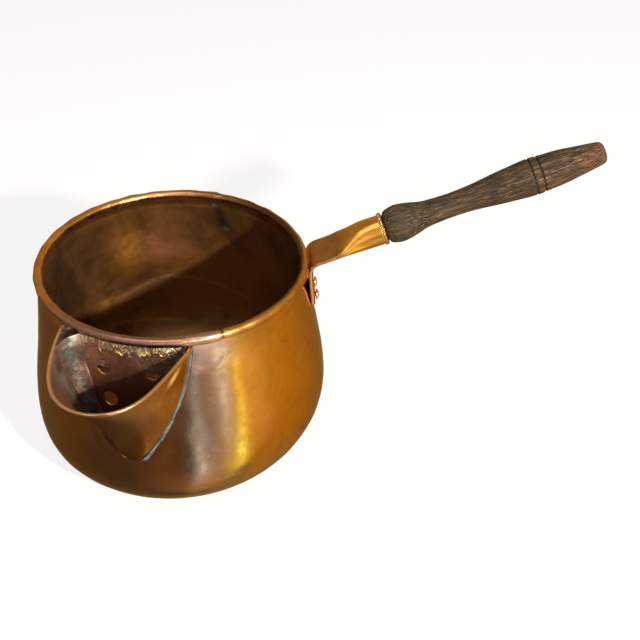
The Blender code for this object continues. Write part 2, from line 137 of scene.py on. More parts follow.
def mesh_from_grid(name, grid, wrap_i=False, wrap_j=True, cap_start=False, cap_end=False, flip=False, slots=None):
    """Quads over a grid of points in mm. Caps close the first and last rows with a fan about their middle."""
    n, m = grid.shape[:2]
    verts = grid.reshape(-1, 3)
    ii = np.arange(n if wrap_i else n - 1)
    jj = np.arange(m if wrap_j else m - 1)
    i, j = np.meshgrid(ii, jj, indexing="ij")
    a, b = i * m + j, i * m + (j + 1) % m
    c, d = ((i + 1) % n) * m + (j + 1) % m, ((i + 1) % n) * m + j
    quads = np.stack([a, b, c, d], -1).reshape(-1, 4)
    if flip:
        quads = quads[:, ::-1]
    faces = quads.tolist()
    face_slot = None if slots is None else [int(s) for s in np.asarray(slots)[i].reshape(-1)]
    extra = []
    for row, want, order in ((0, cap_start, not flip), (n - 1, cap_end, flip)):
        if not want:
            continue
        k = len(verts) + len(extra)
        extra.append(grid[row].mean(0))
        for j0 in range(m):
            tri = [k, row * m + j0, row * m + (j0 + 1) % m]
            faces.append(tri[::-1] if order else tri)
            if face_slot is not None:
                face_slot.append(int(slots[min(row, n - 2)]))
    if extra:
        verts = np.concatenate([verts, np.array(extra)])
    mesh = bpy.data.meshes.new(name)
    mesh.from_pydata((verts * MM).tolist(), [], faces)
    mesh.update()
    if face_slot is not None:
        mesh.polygons.foreach_set("material_index", face_slot)
    return mesh


def add(name, mesh, *mats, smooth=True):
    ob = bpy.data.objects.new(name, mesh)
    bpy.context.scene.collection.objects.link(ob)
    for m in mats:
        mesh.materials.append(m)
    if smooth:
        mesh.polygons.foreach_set("use_smooth", [True] * len(mesh.polygons))
    return ob


def face_out(mesh):
    bm = bmesh.new()
    bm.from_mesh(mesh)
    bmesh.ops.recalc_face_normals(bm, faces=bm.faces)
    bm.to_mesh(mesh)
    bm.free()


def attribute(mesh, name, values):
    at = mesh.attributes.new(name, "FLOAT", "POINT")
    values = np.asarray(values, np.float32)
    full = np.zeros(len(mesh.vertices), np.float32)
    full[: len(values)] = values
    at.data.foreach_set("value", full)


class Waves:
    """Smooth bumps that close on themselves round the pan, from a sum of seeded waves."""

    def __init__(self, seed, count, around, up):
        r = np.random.RandomState(seed)
        self.n = r.randint(around[0], around[1] + 1, count)
        self.k = r.uniform(up[0], up[1], count) * r.choice([-1, 1], count)
        self.f = r.uniform(0, 2 * math.pi, count)
        self.a = r.uniform(0.5, 1.0, count)
        self.a /= np.sqrt((self.a**2).sum() / 2)

    def __call__(self, az, z):
        az, z = np.asarray(az, float)[..., None], np.asarray(z, float)[..., None]
        return (self.a * np.cos(self.n * np.radians(az) + self.k * z + self.f)).sum(-1)


def bump(x, at, width):
    return np.exp(-(((x - at) / width) ** 2))


def step(x, at, soft):
    return 1.0 / (1.0 + np.exp(-np.clip((x - at) / soft, -30, 30)))


# ------------------------------------------------------------ material tools
class Nodes:
    def __init__(self, name):
        self.mat = bpy.data.materials.new(name)
        self.mat.use_nodes = True
        self.t = self.mat.node_tree
        self.t.nodes.clear()
        self.out = self.t.nodes.new("ShaderNodeOutputMaterial")
        self.bsdf = self.t.nodes.new("ShaderNodeBsdfPrincipled")
        self.t.links.new(self.bsdf.outputs[0], self.out.inputs[0])
        self.coord = self.t.nodes.new("ShaderNodeTexCoord").outputs["Object"]

    def link(self, a, b):
        self.t.links.new(a, b)

    def put(self, socket, value):
        if isinstance(value, bpy.types.NodeSocket):
            self.link(value, socket)
        elif value is not None:
            socket.default_value = value

    def mapping(self, vector=None, scale=(1, 1, 1), rotation=(0, 0, 0), location=(0, 0, 0)):
        m = self.t.nodes.new("ShaderNodeMapping")
        self.link(vector or self.coord, m.inputs["Vector"])
        m.inputs["Scale"].default_value = scale
        m.inputs["Rotation"].default_value = rotation
        m.inputs["Location"].default_value = location
        return m.outputs[0]

    def noise(self, scale, detail=3.0, rough=0.55, vector=None, distortion=0.0, lacunarity=2.0):
        n = self.t.nodes.new("ShaderNodeTexNoise")
        self.link(vector or self.coord, n.inputs["Vector"])
        n.inputs["Scale"].default_value = scale
        n.inputs["Detail"].default_value = detail
        n.inputs["Roughness"].default_value = rough
        n.inputs["Lacunarity"].default_value = lacunarity
        n.inputs["Distortion"].default_value = distortion
        return n.outputs["Fac"]

    def voronoi(self, scale, vector=None, feature="F1", randomness=1.0):
        n = self.t.nodes.new("ShaderNodeTexVoronoi")
        n.feature = feature
        self.link(vector or self.coord, n.inputs["Vector"])
        n.inputs["Scale"].default_value = scale
        n.inputs["Randomness"].default_value = randomness
        return n.outputs["Distance"]

    def attr(self, name):
        n = self.t.nodes.new("ShaderNodeAttribute")
        n.attribute_type = "GEOMETRY"
        n.attribute_name = name
        return n.outputs["Fac"]

    def ramp(self, value, low, high, out_low=0.0, out_high=1.0, smooth=True):
        n = self.t.nodes.new("ShaderNodeMapRange")
        n.interpolation_type = "SMOOTHSTEP" if smooth else "LINEAR"
        self.put(n.inputs["Value"], value)
        for key, v in (("From Min", low), ("From Max", high), ("To Min", out_low), ("To Max", out_high)):
            n.inputs[key].default_value = v
        return n.outputs["Result"]

    def math(self, op, a, b=None, clamp=False):
        n = self.t.nodes.new("ShaderNodeMath")
        n.operation = op
        n.use_clamp = clamp
        self.put(n.inputs[0], a)
        self.put(n.inputs[1], b)
        return n.outputs[0]

    def mix(self, fac, a, b, mode="MIX"):
        n = self.t.nodes.new("ShaderNodeMix")
        n.data_type = "RGBA"
        n.blend_type = mode
        self.put(n.inputs[0], fac)
        for k, v in ((6, a), (7, b)):
            if not isinstance(v, bpy.types.NodeSocket):
                v = (*v[:3], 1.0)
            self.put(n.inputs[k], v)
        return n.outputs[2]

    def bumps(self, height, strength, distance=0.001, normal=None):
        n = self.t.nodes.new("ShaderNodeBump")
        n.inputs["Strength"].default_value = strength
        n.inputs["Distance"].default_value = distance
        self.link(height, n.inputs["Height"])
        if normal is not None:
            self.link(normal, n.inputs["Normal"])
        return n.outputs[0]

    def finish(self, colour=None, rough=None, metal=None, normal=None, **fixed):
        names = {"colour": "Base Color", "rough": "Roughness", "metal": "Metallic", "normal": "Normal"}
        for key, v in (("colour", colour), ("rough", rough), ("metal", metal), ("normal", normal)):
            if v is None:
                continue
            if key == "colour" and not isinstance(v, bpy.types.NodeSocket):
                v = (*v[:3], 1.0)
            self.put(self.bsdf.inputs[names[key]], v)
        for key, v in fixed.items():
            self.bsdf.inputs[key.replace("_", " ")].default_value = v
        return self.mat


GOLD = (0.89, 0.43, 0.075)
ORANGE = (0.82, 0.345, 0.05)
BROWN = (0.40, 0.165, 0.04)
PURPLE = (0.48, 0.275, 0.18)
PINK = (0.93, 0.58, 0.44)
DARK = (0.10, 0.045, 0.02)


def copper_outside():
    n = Nodes("copper_outside")
    big = n.noise(11.0, 4.0, 0.6, distortion=0.6)
    mid = n.noise(38.0, 4.0, 0.6, distortion=0.4)
    fine = n.noise(210.0, 3.0, 0.6)
    stretched = n.noise(60.0, 4.0, 0.65, n.mapping(scale=(1.0, 1.0, 0.16)), distortion=0.5)
    colour = n.mix(n.ramp(big, 0.38, 0.66), GOLD, ORANGE)
    colour = n.mix(n.math("MULTIPLY", n.ramp(mid, 0.5, 0.78), 0.22), colour, BROWN)
    purple = n.math("MULTIPLY", n.attr("patina"), n.ramp(stretched, 0.25, 0.72, 0.72, 0.98))
    colour = n.mix(purple, colour, PURPLE)
    colour = n.mix(n.math("MULTIPLY", n.attr("pink"), n.ramp(mid, 0.3, 0.62, 0.45, 1.0)), colour, PINK)
    # small dark specks and pale pinpricks
    speck = n.ramp(n.voronoi(60.0), 0.02, 0.06, 1.0, 0.0)
    speck = n.math("MULTIPLY", speck, n.ramp(big, 0.56, 0.66))
    colour = n.mix(n.math("MULTIPLY", speck, 0.35), colour, DARK)
    mottle = n.noise(95.0, 6.0, 0.72, distortion=0.3)
    colour = n.mix(n.math("MULTIPLY", n.ramp(mottle, 0.50, 0.72), 0.34), colour, (0.44, 0.17, 0.035))
    colour = n.mix(n.math("MULTIPLY", n.ramp(mottle, 0.46, 0.30), 0.25), colour, (0.97, 0.58, 0.20))
    pin = n.ramp(n.voronoi(150.0), 0.05, 0.11, 1.0, 0.0)
    pin = n.math("MULTIPLY", pin, n.ramp(n.noise(30.0, 2.0, 0.5), 0.54, 0.62))
    colour = n.mix(n.math("MULTIPLY", pin, 0.55), colour, (0.95, 0.72, 0.48))
    # tarnish by the solder, darker along the foot, and painted shade under the rim, in its open seam and in the crease
    # below it
    colour = n.mix(n.math("MULTIPLY", n.attr("grime_and_shade"), n.ramp(mid, 0.25, 0.7, 0.5, 1.0)), colour, DARK)
    rough = n.math("ADD", n.ramp(mottle, 0.35, 0.68, 0.07, 0.17), n.ramp(fine, 0.35, 0.7, 0.0, 0.05))
    rough = n.math("ADD", rough, n.math("MULTIPLY", n.attr("grime_and_shade"), 0.25), clamp=True)
    # fine polishing scratches round the pan, and faint dings
    scratch = n.noise(420.0, 2.0, 0.5, n.mapping(scale=(0.12, 0.12, 1.0)))
    height = n.math("ADD", n.math("MULTIPLY", scratch, 0.25), n.math("MULTIPLY", stretched, 0.9))
    normal = n.bumps(height, 0.12, 0.0005)
    normal = n.bumps(mottle, 0.13, 0.0005, normal)
    return n.finish(colour, rough, 1.0, normal)


def copper_inside():
    n = Nodes("copper_inside")
    big = n.noise(13.0, 5.0, 0.62, distortion=0.9)
    mid = n.noise(45.0, 5.0, 0.65, distortion=0.5)
    fine = n.noise(230.0, 4.0, 0.65)
    colour = n.mix(n.ramp(big, 0.36, 0.64), (0.165, 0.082, 0.032), (0.31, 0.148, 0.042))
    colour = n.mix(n.math("MULTIPLY", n.ramp(mid, 0.46, 0.72), 0.5), colour, (0.29, 0.125, 0.07))
    colour = n.mix(n.math("MULTIPLY", n.attr("rosy"), n.ramp(mid, 0.2, 0.6, 0.5, 1.0)), colour, (0.62, 0.25, 0.16))
    colour = n.mix(n.math("MULTIPLY", n.attr("mark"), n.ramp(mid, 0.25, 0.6, 0.45, 1.0)), colour, (0.74, 0.36, 0.07))
    colour = n.mix(n.math("MULTIPLY", n.ramp(fine, 0.55, 0.75), 0.35), colour, (0.09, 0.042, 0.018))
    colour = n.mix(n.attr("stain"), colour, (0.050, 0.045, 0.040))
    colour = n.mix(n.math("MULTIPLY", n.attr("verdigris"), n.ramp(fine, 0.35, 0.6, 0.2, 1.0)), colour, (0.50, 0.52, 0.38))
    metal = n.ramp(mid, 0.35, 0.7, 0.80, 0.60)
    rough = n.math("ADD", n.ramp(big, 0.3, 0.7, 0.30, 0.44), n.ramp(fine, 0.35, 0.7, 0.0, 0.08))
    normal = n.bumps(n.math("ADD", mid, n.math("MULTIPLY", fine, 0.5)), 0.25, 0.0008)
    return n.finish(colour, rough, metal, normal)


def copper_rim():
    n = Nodes("copper_rim")
    big = n.noise(26.0, 4.0, 0.6, distortion=0.5)
    mid = n.noise(85.0, 4.0, 0.65)
    fine = n.noise(320.0, 3.0, 0.6)
    colour = n.mix(n.ramp(big, 0.36, 0.64), (0.80, 0.40, 0.11), (0.62, 0.27, 0.08))
    colour = n.mix(n.math("MULTIPLY", n.attr("lavender"), n.ramp(mid, 0.25, 0.6, 0.6, 0.98)), colour, (0.34, 0.215, 0.18))
    # pink on the rolled edge is a painted highlight
    colour = n.mix(n.math("MULTIPLY", n.attr("pink"), n.ramp(mid, 0.3, 0.65, 0.2, 0.75)), colour, PINK)
    colour = n.mix(n.math("MULTIPLY", n.ramp(mid, 0.5, 0.75), 0.55), colour, (0.28, 0.125, 0.045))
    # painted shade under the rolled edge, a painted dark reflection on its inner half towards the handle, and a dark
    # line at its lap
    colour = n.mix(n.attr("grime_and_shade"), colour, DARK)
    rough = n.math("ADD", n.ramp(mid, 0.3, 0.75, 0.24, 0.42), n.ramp(fine, 0.4, 0.7, 0.0, 0.08))
    normal = n.bumps(n.math("ADD", mid, n.math("MULTIPLY", fine, 0.4)), 0.42, 0.0009)
    return n.finish(colour, rough, 1.0, normal)


def spout_outside():
    n = Nodes("spout_outside")
    big = n.noise(15.0, 4.0, 0.6, distortion=0.5)
    mid = n.noise(52.0, 4.0, 0.6)
    fine = n.noise(260.0, 3.0, 0.6)
    colour = n.mix(n.ramp(big, 0.36, 0.64), (0.62, 0.27, 0.045), (0.44, 0.175, 0.035))
    colour = n.mix(n.math("MULTIPLY", n.attr("shade"), n.ramp(mid, 0.2, 0.65, 0.35, 0.7)), colour, (0.34, 0.135, 0.020))
    colour = n.mix(n.math("MULTIPLY", n.attr("glint"), n.ramp(fine, 0.3, 0.6, 0.5, 1.0)), colour, (1.0, 0.70, 0.16))
    colour = n.mix(n.math("MULTIPLY", n.ramp(mid, 0.5, 0.76), 0.5), colour, BROWN)
    colour = n.mix(n.math("MULTIPLY", n.attr("pink"), n.ramp(mid, 0.3, 0.6)), colour, PINK)
    colour = n.mix(n.math("MULTIPLY", n.attr("edge"), 0.8), colour, (0.92, 0.56, 0.30))
    # dark along the joints with the wall, and painted shade under the step of the folded lip
    colour = n.mix(n.math("MULTIPLY", n.attr("grime_and_shade"), n.ramp(mid, 0.3, 0.7, 0.5, 1.0)), colour, DARK)
    rough = n.math("ADD", n.ramp(big, 0.3, 0.75, 0.17, 0.28), n.ramp(fine, 0.35, 0.7, 0.0, 0.06))
    normal = n.bumps(n.math("ADD", mid, n.math("MULTIPLY", fine, 0.4)), 0.13, 0.0005)
    metal = n.math("SUBTRACT", 1.0, n.math("MULTIPLY", n.attr("glint"), 0.75))
    return n.finish(colour, rough, metal, normal)


def spout_inside():
    """Tarnished copper with solder wiped over it near its edges."""
    n = Nodes("spout_inside")
    big = n.noise(20.0, 5.0, 0.65, distortion=0.9)
    mid = n.noise(70.0, 5.0, 0.65, distortion=0.4)
    fine = n.noise(280.0, 4.0, 0.65)
    colour = n.mix(n.ramp(big, 0.36, 0.62), (0.17, 0.085, 0.05), (0.31, 0.165, 0.11))
    colour = n.mix(n.math("MULTIPLY", n.ramp(mid, 0.45, 0.7), 0.5), colour, (0.27, 0.13, 0.09))
    smear = n.math("MULTIPLY", n.attr("solder"), n.ramp(mid, 0.33, 0.58))
    colour = n.mix(smear, colour, (0.36, 0.37, 0.40))
    # painted shade deep down the middle of the spout
    colour = n.mix(n.math("MULTIPLY", n.attr("deep_spout_shade"), n.ramp(mid, 0.3, 0.6, 0.5, 1.0)), colour, (0.03, 0.02, 0.014))
    colour = n.mix(n.math("MULTIPLY", n.attr("edge"), 0.75), colour, (0.90, 0.52, 0.24))
    rough = n.math("ADD", n.ramp(mid, 0.3, 0.7, 0.34, 0.52), n.ramp(fine, 0.35, 0.7, 0.0, 0.08))
    normal = n.bumps(n.math("ADD", mid, n.math("MULTIPLY", fine, 0.5)), 0.3, 0.0008)
    return n.finish(colour, rough, 0.92, normal)


def wall_in_spout():
    """The pan's wall seen inside the spout: dull purple-brown, with painted shade lower down and under the rolled edge.
    """
    n = Nodes("wall_in_spout")
    big = n.noise(24.0, 5.0, 0.65, distortion=0.8)
    mid = n.noise(75.0, 5.0, 0.65, distortion=0.4)
    fine = n.noise(280.0, 4.0, 0.65)
    colour = n.mix(n.ramp(big, 0.36, 0.62), (0.24, 0.115, 0.08), (0.36, 0.19, 0.14))
    # painted shade lower down in the spout
    colour = n.mix(n.math("MULTIPLY", n.attr("low"), n.ramp(mid, 0.2, 0.6, 0.6, 1.0)), colour, (0.16, 0.055, 0.02))
    # painted shade under the rolled edge
    colour = n.mix(n.math("MULTIPLY", n.attr("grime_and_shade"), n.ramp(mid, 0.3, 0.6)), colour, (0.05, 0.03, 0.02))
    rough = n.math("ADD", n.ramp(mid, 0.3, 0.7, 0.36, 0.55), n.ramp(fine, 0.35, 0.7, 0.0, 0.08))
    normal = n.bumps(n.math("ADD", mid, n.math("MULTIPLY", fine, 0.5)), 0.3, 0.0008)
    return n.finish(colour, rough, 0.85, normal)


def copper_socket():
    n = Nodes("copper_socket")
    big = n.noise(30.0, 4.0, 0.6, n.mapping(rotation=(0, math.radians(HANDLE_SLOPE), 0), scale=(0.35, 1, 1)), distortion=0.4)
    mid = n.noise(120.0, 4.0, 0.6)
    fine = n.noise(500.0, 3.0, 0.6, n.mapping(rotation=(0, math.radians(HANDLE_SLOPE), 0), scale=(0.12, 1, 1)))
    colour = n.mix(n.ramp(big, 0.35, 0.65), (0.88, 0.44, 0.075), (0.80, 0.35, 0.055))
    colour = n.mix(n.math("MULTIPLY", n.ramp(mid, 0.55, 0.78), 0.35), colour, BROWN)
    colour = n.mix(n.math("MULTIPLY", n.attr("patina"), n.ramp(mid, 0.3, 0.65, 0.55, 1.0)), colour, (0.42, 0.20, 0.07))
    colour = n.mix(n.math("MULTIPLY", n.attr("edge"), 0.9), colour, (1.0, 0.46, 0.24))
    rough = n.math("ADD", n.ramp(big, 0.3, 0.75, 0.16, 0.26), n.ramp(fine, 0.35, 0.7, 0.0, 0.06))
    rough = n.math("ADD", rough, n.math("MULTIPLY", n.attr("patina"), 0.12))
    normal = n.bumps(n.math("ADD", mid, fine), 0.10, 0.0004)
    return n.finish(colour, rough, 1.0, normal)


def bright_copper(name, colour_a, colour_b, rough_low, rough_high, scale=160.0):
    n = Nodes(name)
    mid = n.noise(scale, 4.0, 0.6)
    fine = n.noise(scale * 5, 3.0, 0.6)
    colour = n.mix(n.ramp(mid, 0.36, 0.66), colour_a, colour_b)
    colour = n.mix(n.math("MULTIPLY", n.ramp(fine, 0.58, 0.75), 0.5), colour, DARK)
    colour = n.mix(n.math("MULTIPLY", n.attr("cavity"), 0.85), colour, (0.12, 0.055, 0.02))
    rough = n.ramp(mid, 0.3, 0.7, rough_low, rough_high)
    normal = n.bumps(n.math("ADD", mid, n.math("MULTIPLY", fine, 0.4)), 0.25, 0.0004)
    return n.finish(colour, rough, 1.0, normal)


def solder(name, kind):
    n = Nodes(name)
    mid = n.noise(140.0, 4.0, 0.65, distortion=0.5)
    fine = n.noise(520.0, 4.0, 0.65)
    patch = n.noise(75.0, 5.0, 0.7, distortion=0.8)
    if kind == "splash":  # run under the rim: brown tarnish, grey solder and yellowish white crusts
        colour = n.mix(n.ramp(patch, 0.42, 0.58), (0.27, 0.155, 0.11), (0.34, 0.27, 0.23))
        colour = n.mix(n.math("MULTIPLY", n.ramp(mid, 0.56, 0.68), 0.6), colour, (0.09, 0.06, 0.04))
        crust = n.math("MULTIPLY", n.ramp(n.noise(190.0, 4.0, 0.7, distortion=1.4), 0.47, 0.56), n.attr("thick"))
        colour = n.mix(crust, colour, (0.66, 0.57, 0.25))
        colour = n.mix(n.math("MULTIPLY", crust, n.ramp(fine, 0.50, 0.62)), colour, (0.93, 0.90, 0.66))
        colour = n.mix(n.math("MULTIPLY", n.attr("cool"), n.ramp(mid, 0.3, 0.6, 0.3, 0.9)), colour, (0.36, 0.42, 0.47))
        rough, metal = n.ramp(fine, 0.3, 0.7, 0.26, 0.46), n.math("SUBTRACT", 0.85, n.math("MULTIPLY", crust, 0.55))
    elif kind == "smear":  # wiped into the corner between spout and wall
        colour = n.mix(n.ramp(patch, 0.40, 0.60), (0.135, 0.080, 0.058), (0.17, 0.18, 0.19))
        colour = n.mix(n.math("MULTIPLY", n.ramp(mid, 0.54, 0.68), 0.7), colour, (0.33, 0.37, 0.41))
        colour = n.mix(n.math("MULTIPLY", n.ramp(fine, 0.54, 0.68), 0.55), colour, (0.035, 0.028, 0.024))
        # painted shade lower down in the corner
        colour = n.mix(n.math("MULTIPLY", n.attr("low"), n.ramp(patch, 0.3, 0.55, 0.5, 1.0)), colour, (0.050, 0.035, 0.026))
        # grey solder where cool is set; brightest at the spout's top corner, where it is painted light on the shade
        # cast by the rolled edge
        grey = n.mix(n.ramp(n.noise(170.0, 5.0, 0.7, distortion=0.4), 0.44, 0.62), (0.22, 0.20, 0.20), (0.68, 0.74, 0.78))
        colour = n.mix(n.math("MULTIPLY", n.attr("cool"), n.ramp(patch, 0.2, 0.5, 0.6, 1.0)), colour, grey)
        colour = n.mix(n.math("MULTIPLY", n.attr("edge"), n.ramp(mid, 0.15, 0.6, 0.45, 0.95)), colour, (0.22, 0.118, 0.085))
        rough = n.ramp(mid, 0.3, 0.7, 0.34, 0.52)
        metal = n.math("SUBTRACT", 0.8, n.math("MULTIPLY", n.attr("cool"), 0.4))
    elif kind == "dark":  # the same joint gone as brown as the copper
        colour = n.mix(n.ramp(patch, 0.42, 0.58), (0.40, 0.20, 0.09), (0.24, 0.12, 0.06))
        colour = n.mix(n.math("MULTIPLY", n.ramp(mid, 0.60, 0.72), 0.5), colour, (0.34, 0.30, 0.26))
        rough, metal = n.ramp(mid, 0.3, 0.7, 0.3, 0.46), 0.95
    else:
        colour = n.mix(n.ramp(patch, 0.40, 0.60), (0.36, 0.45, 0.72), (0.17, 0.22, 0.38))
        colour = n.mix(n.math("MULTIPLY", n.ramp(fine, 0.55, 0.72), 0.6), colour, (0.62, 0.70, 0.95))
        colour = n.mix(n.math("MULTIPLY", n.attr("edge"), n.ramp(mid, 0.25, 0.6)), colour, (0.07, 0.05, 0.05))
        rough, metal = n.ramp(mid, 0.3, 0.7, 0.30, 0.46), 0.85
    normal = n.bumps(n.math("ADD", mid, n.math("MULTIPLY", fine, 0.6)), 0.4, 0.0006)
    return n.finish(colour, rough, metal, normal)


def iron():
    n = Nodes("iron_wire")
    mid = n.noise(300.0, 4.0, 0.65)
    colour = n.mix(n.ramp(mid, 0.4, 0.65), (0.20, 0.18, 0.165), (0.13, 0.07, 0.045))
    return n.finish(colour, n.ramp(mid, 0.3, 0.7, 0.4, 0.65), 0.9, n.bumps(mid, 0.3, 0.0004))


def dark_wood():
    n = Nodes("dark_wood")
    turn = (0, math.radians(HANDLE_SLOPE), 0)
    along = n.mapping(rotation=turn, location=(0, 0, 0))
    fibre = n.noise(1.0, 5.0, 0.68, n.mapping(along, scale=(42.0, 1050.0, 1050.0)), distortion=0.3)
    streak = n.noise(1.0, 4.0, 0.6, n.mapping(along, scale=(14.0, 130.0, 130.0)), distortion=0.7)
    pore = n.noise(1.0, 3.0, 0.5, n.mapping(along, scale=(75.0, 1500.0, 1500.0)))
    blotch = n.noise(38.0, 4.0, 0.6, distortion=0.4)
    speck = n.noise(900.0, 2.0, 0.5)
    colour = n.mix(n.ramp(streak, 0.34, 0.66), (0.060, 0.036, 0.019), (0.115, 0.066, 0.033))
    colour = n.mix(n.math("MULTIPLY", n.ramp(fibre, 0.46, 0.58), 0.92), colour, (0.017, 0.011, 0.007))
    colour = n.mix(n.math("MULTIPLY", n.ramp(fibre, 0.36, 0.44, 1.0, 0.0), 0.85), colour, (0.36, 0.22, 0.115))
    grey = n.math("MULTIPLY", n.attr("weathered"), n.ramp(blotch, 0.3, 0.62))
    colour = n.mix(n.math("MULTIPLY", grey, 0.6), colour, (0.062, 0.054, 0.036))
    colour = n.mix(n.math("MULTIPLY", n.attr("worn"), n.ramp(fibre, 0.36, 0.58, 0.8, 0.15)), colour, (0.26, 0.125, 0.07))
    colour = n.mix(n.math("MULTIPLY", n.ramp(speck, 0.66, 0.74), n.math("MULTIPLY", n.attr("weathered"), 0.6)), colour, (0.42, 0.38, 0.30))
    colour = n.mix(n.attr("groove"), colour, (0.014, 0.010, 0.008))
    rough = n.math("ADD", n.ramp(fibre, 0.3, 0.7, 0.46, 0.68), n.math("MULTIPLY", grey, 0.12))
    height = n.math("ADD", n.math("MULTIPLY", fibre, -1.0), n.math("MULTIPLY", n.ramp(pore, 0.55, 0.7), -0.8))
    normal = n.bumps(height, 0.85, 0.0008)
    return n.finish(colour, rough, 0.0, normal)


# ------------------------------------------------------------ pan body
LEAN = [(-2, -3.1), (8, -2.9), (15, -2.5), (22, -1.9), (30, -1.1), (38, 0.0), (46, 0.9), (56, 1.5), (75, 1.9), (95, 1.8), (110, 1.2), (124, 0.6), (136, 0.1), (143, 0.0)]
SIDEWAYS = np.array([0.9938, -0.1115, 0.0])


def leant(mesh):
    """The pan was raised by hand and doesn't stand quite true: its belly and foot sit a little to one side of its rim."""
    co = np.zeros(len(mesh.vertices) * 3)
    mesh.vertices.foreach_get("co", co)
    co = co.reshape(-1, 3)
    z = co[:, 2] / MM
    co += np.interp(z, [p[0] for p in LEAN], [p[1] for p in LEAN])[:, None] * MM * SIDEWAYS
    low, high = np.array(CAD_BOX[0]) + 0.00006, np.array(CAD_BOX[1]) - 0.00006
    low[2] = 0.0
    co = np.clip(co, low, high)
    mesh.vertices.foreach_set("co", co.ravel())
    mesh.update()


WALL = smooth_path([(60.0, 0.0), (66.0, 0.0)] + OUTSIDE, 420)
_ok = np.concatenate([[True], np.diff(np.maximum.accumulate(WALL[:, 1])) > 1e-6])
WALL_R, WALL_Z = WALL[_ok, 0], WALL[_ok, 1]


def wall_radius(z):
    return np.interp(z, WALL_Z, WALL_R)


BROAD = Waves(11, 10, (3, 9), (0.01, 0.05))
PLANISH = Waves(23, 26, (14, 34), (0.10, 0.28))
RIMWAVE = Waves(31, 12, (8, 40), (0.0, 0.0))


def hammered(az, z):
    """How far the handmade wall stands off its turned shape, in mm."""
    up = np.clip((z - 6.0) / 20.0, 0, 1) * np.clip((147.0 - z) / 30.0, 0, 1)
    d = up * (0.22 * BROAD(az, z) + 0.035 * PLANISH(az, z))
    # a soft ring left by a blow beside the spout, with a flatter place inside it
    x = np.radians(az + 76.2) * 90.0
    ring = np.hypot(x - 0.5, z - 138.0)
    d = d + 0.42 * bump(ring, 14.4, 0.9) * step(132.5, z, 1.2) - 0.24 * step(13.2, ring, 0.8) * np.clip((140.0 - z) / 6.0, 0, 1)
    # the folded edge of the rim shows as a low line along the wall, right of its joint
    edge_line = 137.6 + 0.5 * np.cos(np.radians(az * 7.0)) + 0.02 * (az + 60.0)
    d = d + 0.20 * step(z, edge_line, 0.35) * step(az, JOINT_AZ + 1.0, 0.7) * step(-8.0, az, 6.0) * np.clip((143.5 - z) / 4.0, 0, 1)
    # the turn from wall to base, a low rounded ridge
    d = d + 0.28 * bump(z, 36.5, 1.7) * (0.75 + 0.25 * BROAD(az * 1.0, z * 0 + 3.0))
    return d - 0.25


def bead_swell(az):
    """The rolled edge: a little uneven, and thicker up to where its end laps over."""
    lap = step(JOINT_AZ, az, 0.18) * step(az, JOINT_AZ - 26.0, 6.0)
    back = bump(az, JOINT_BACK_AZ, 1.6) * 0.45 + step(az, JOINT_BACK_AZ, 0.25) * step(JOINT_BACK_AZ + 22, az, 5.0) * 0.3
    return 0.12 * RIMWAVE(az, az * 0) + 0.50 * lap - 0.5 * bump(az, JOINT_AZ + 0.4, 0.35) + back - 0.22 + 0.2 * bump(az, 0.0, 14.0)


def pan_profile():
    outer = smooth_path([(62.0, 0.0), (66.0, 0.0)] + OUTSIDE, 96)[2:]
    base = np.stack([np.linspace(2.0, outer[0, 0] - 4, 9), np.zeros(9)], 1)
    hidden = np.radians(np.linspace(CURL_FROM, CURL_TO, 16))
    shown = np.radians(np.linspace(CURL_TO, CURL_FROM - 20.0, 34))
    thick = np.interp(outer[:, 1], [0, 6], [BASE_SHEET, SHEET])
    inner = offset(outer, 1.0)
    inner = outer + (inner - outer) * thick[:, None]
    inner = inner[inner[:, 1] < 143.2][::-1]
    floor = np.stack([np.linspace(inner[-1, 0] - 4, 2.0, 16), np.full(16, BASE_SHEET)], 1)
    rows, kind = [], []
    for p in base:
        rows.append(("flat", p[0], p[1])); kind.append(0)
    for p in outer:
        rows.append(("wall", p[0], p[1])); kind.append(0)
    for a in hidden:
        rows.append(("curl", WIRE_ROOM, a)); kind.append(1)
    for a in shown:
        rows.append(("bead", BEAD_OUT, a)); kind.append(1)
    for p in inner:
        rows.append(("inwall", p[0], p[1])); kind.append(2)
    for p in floor:
        rows.append(("floor", p[0], p[1])); kind.append(2)
    return rows, kind


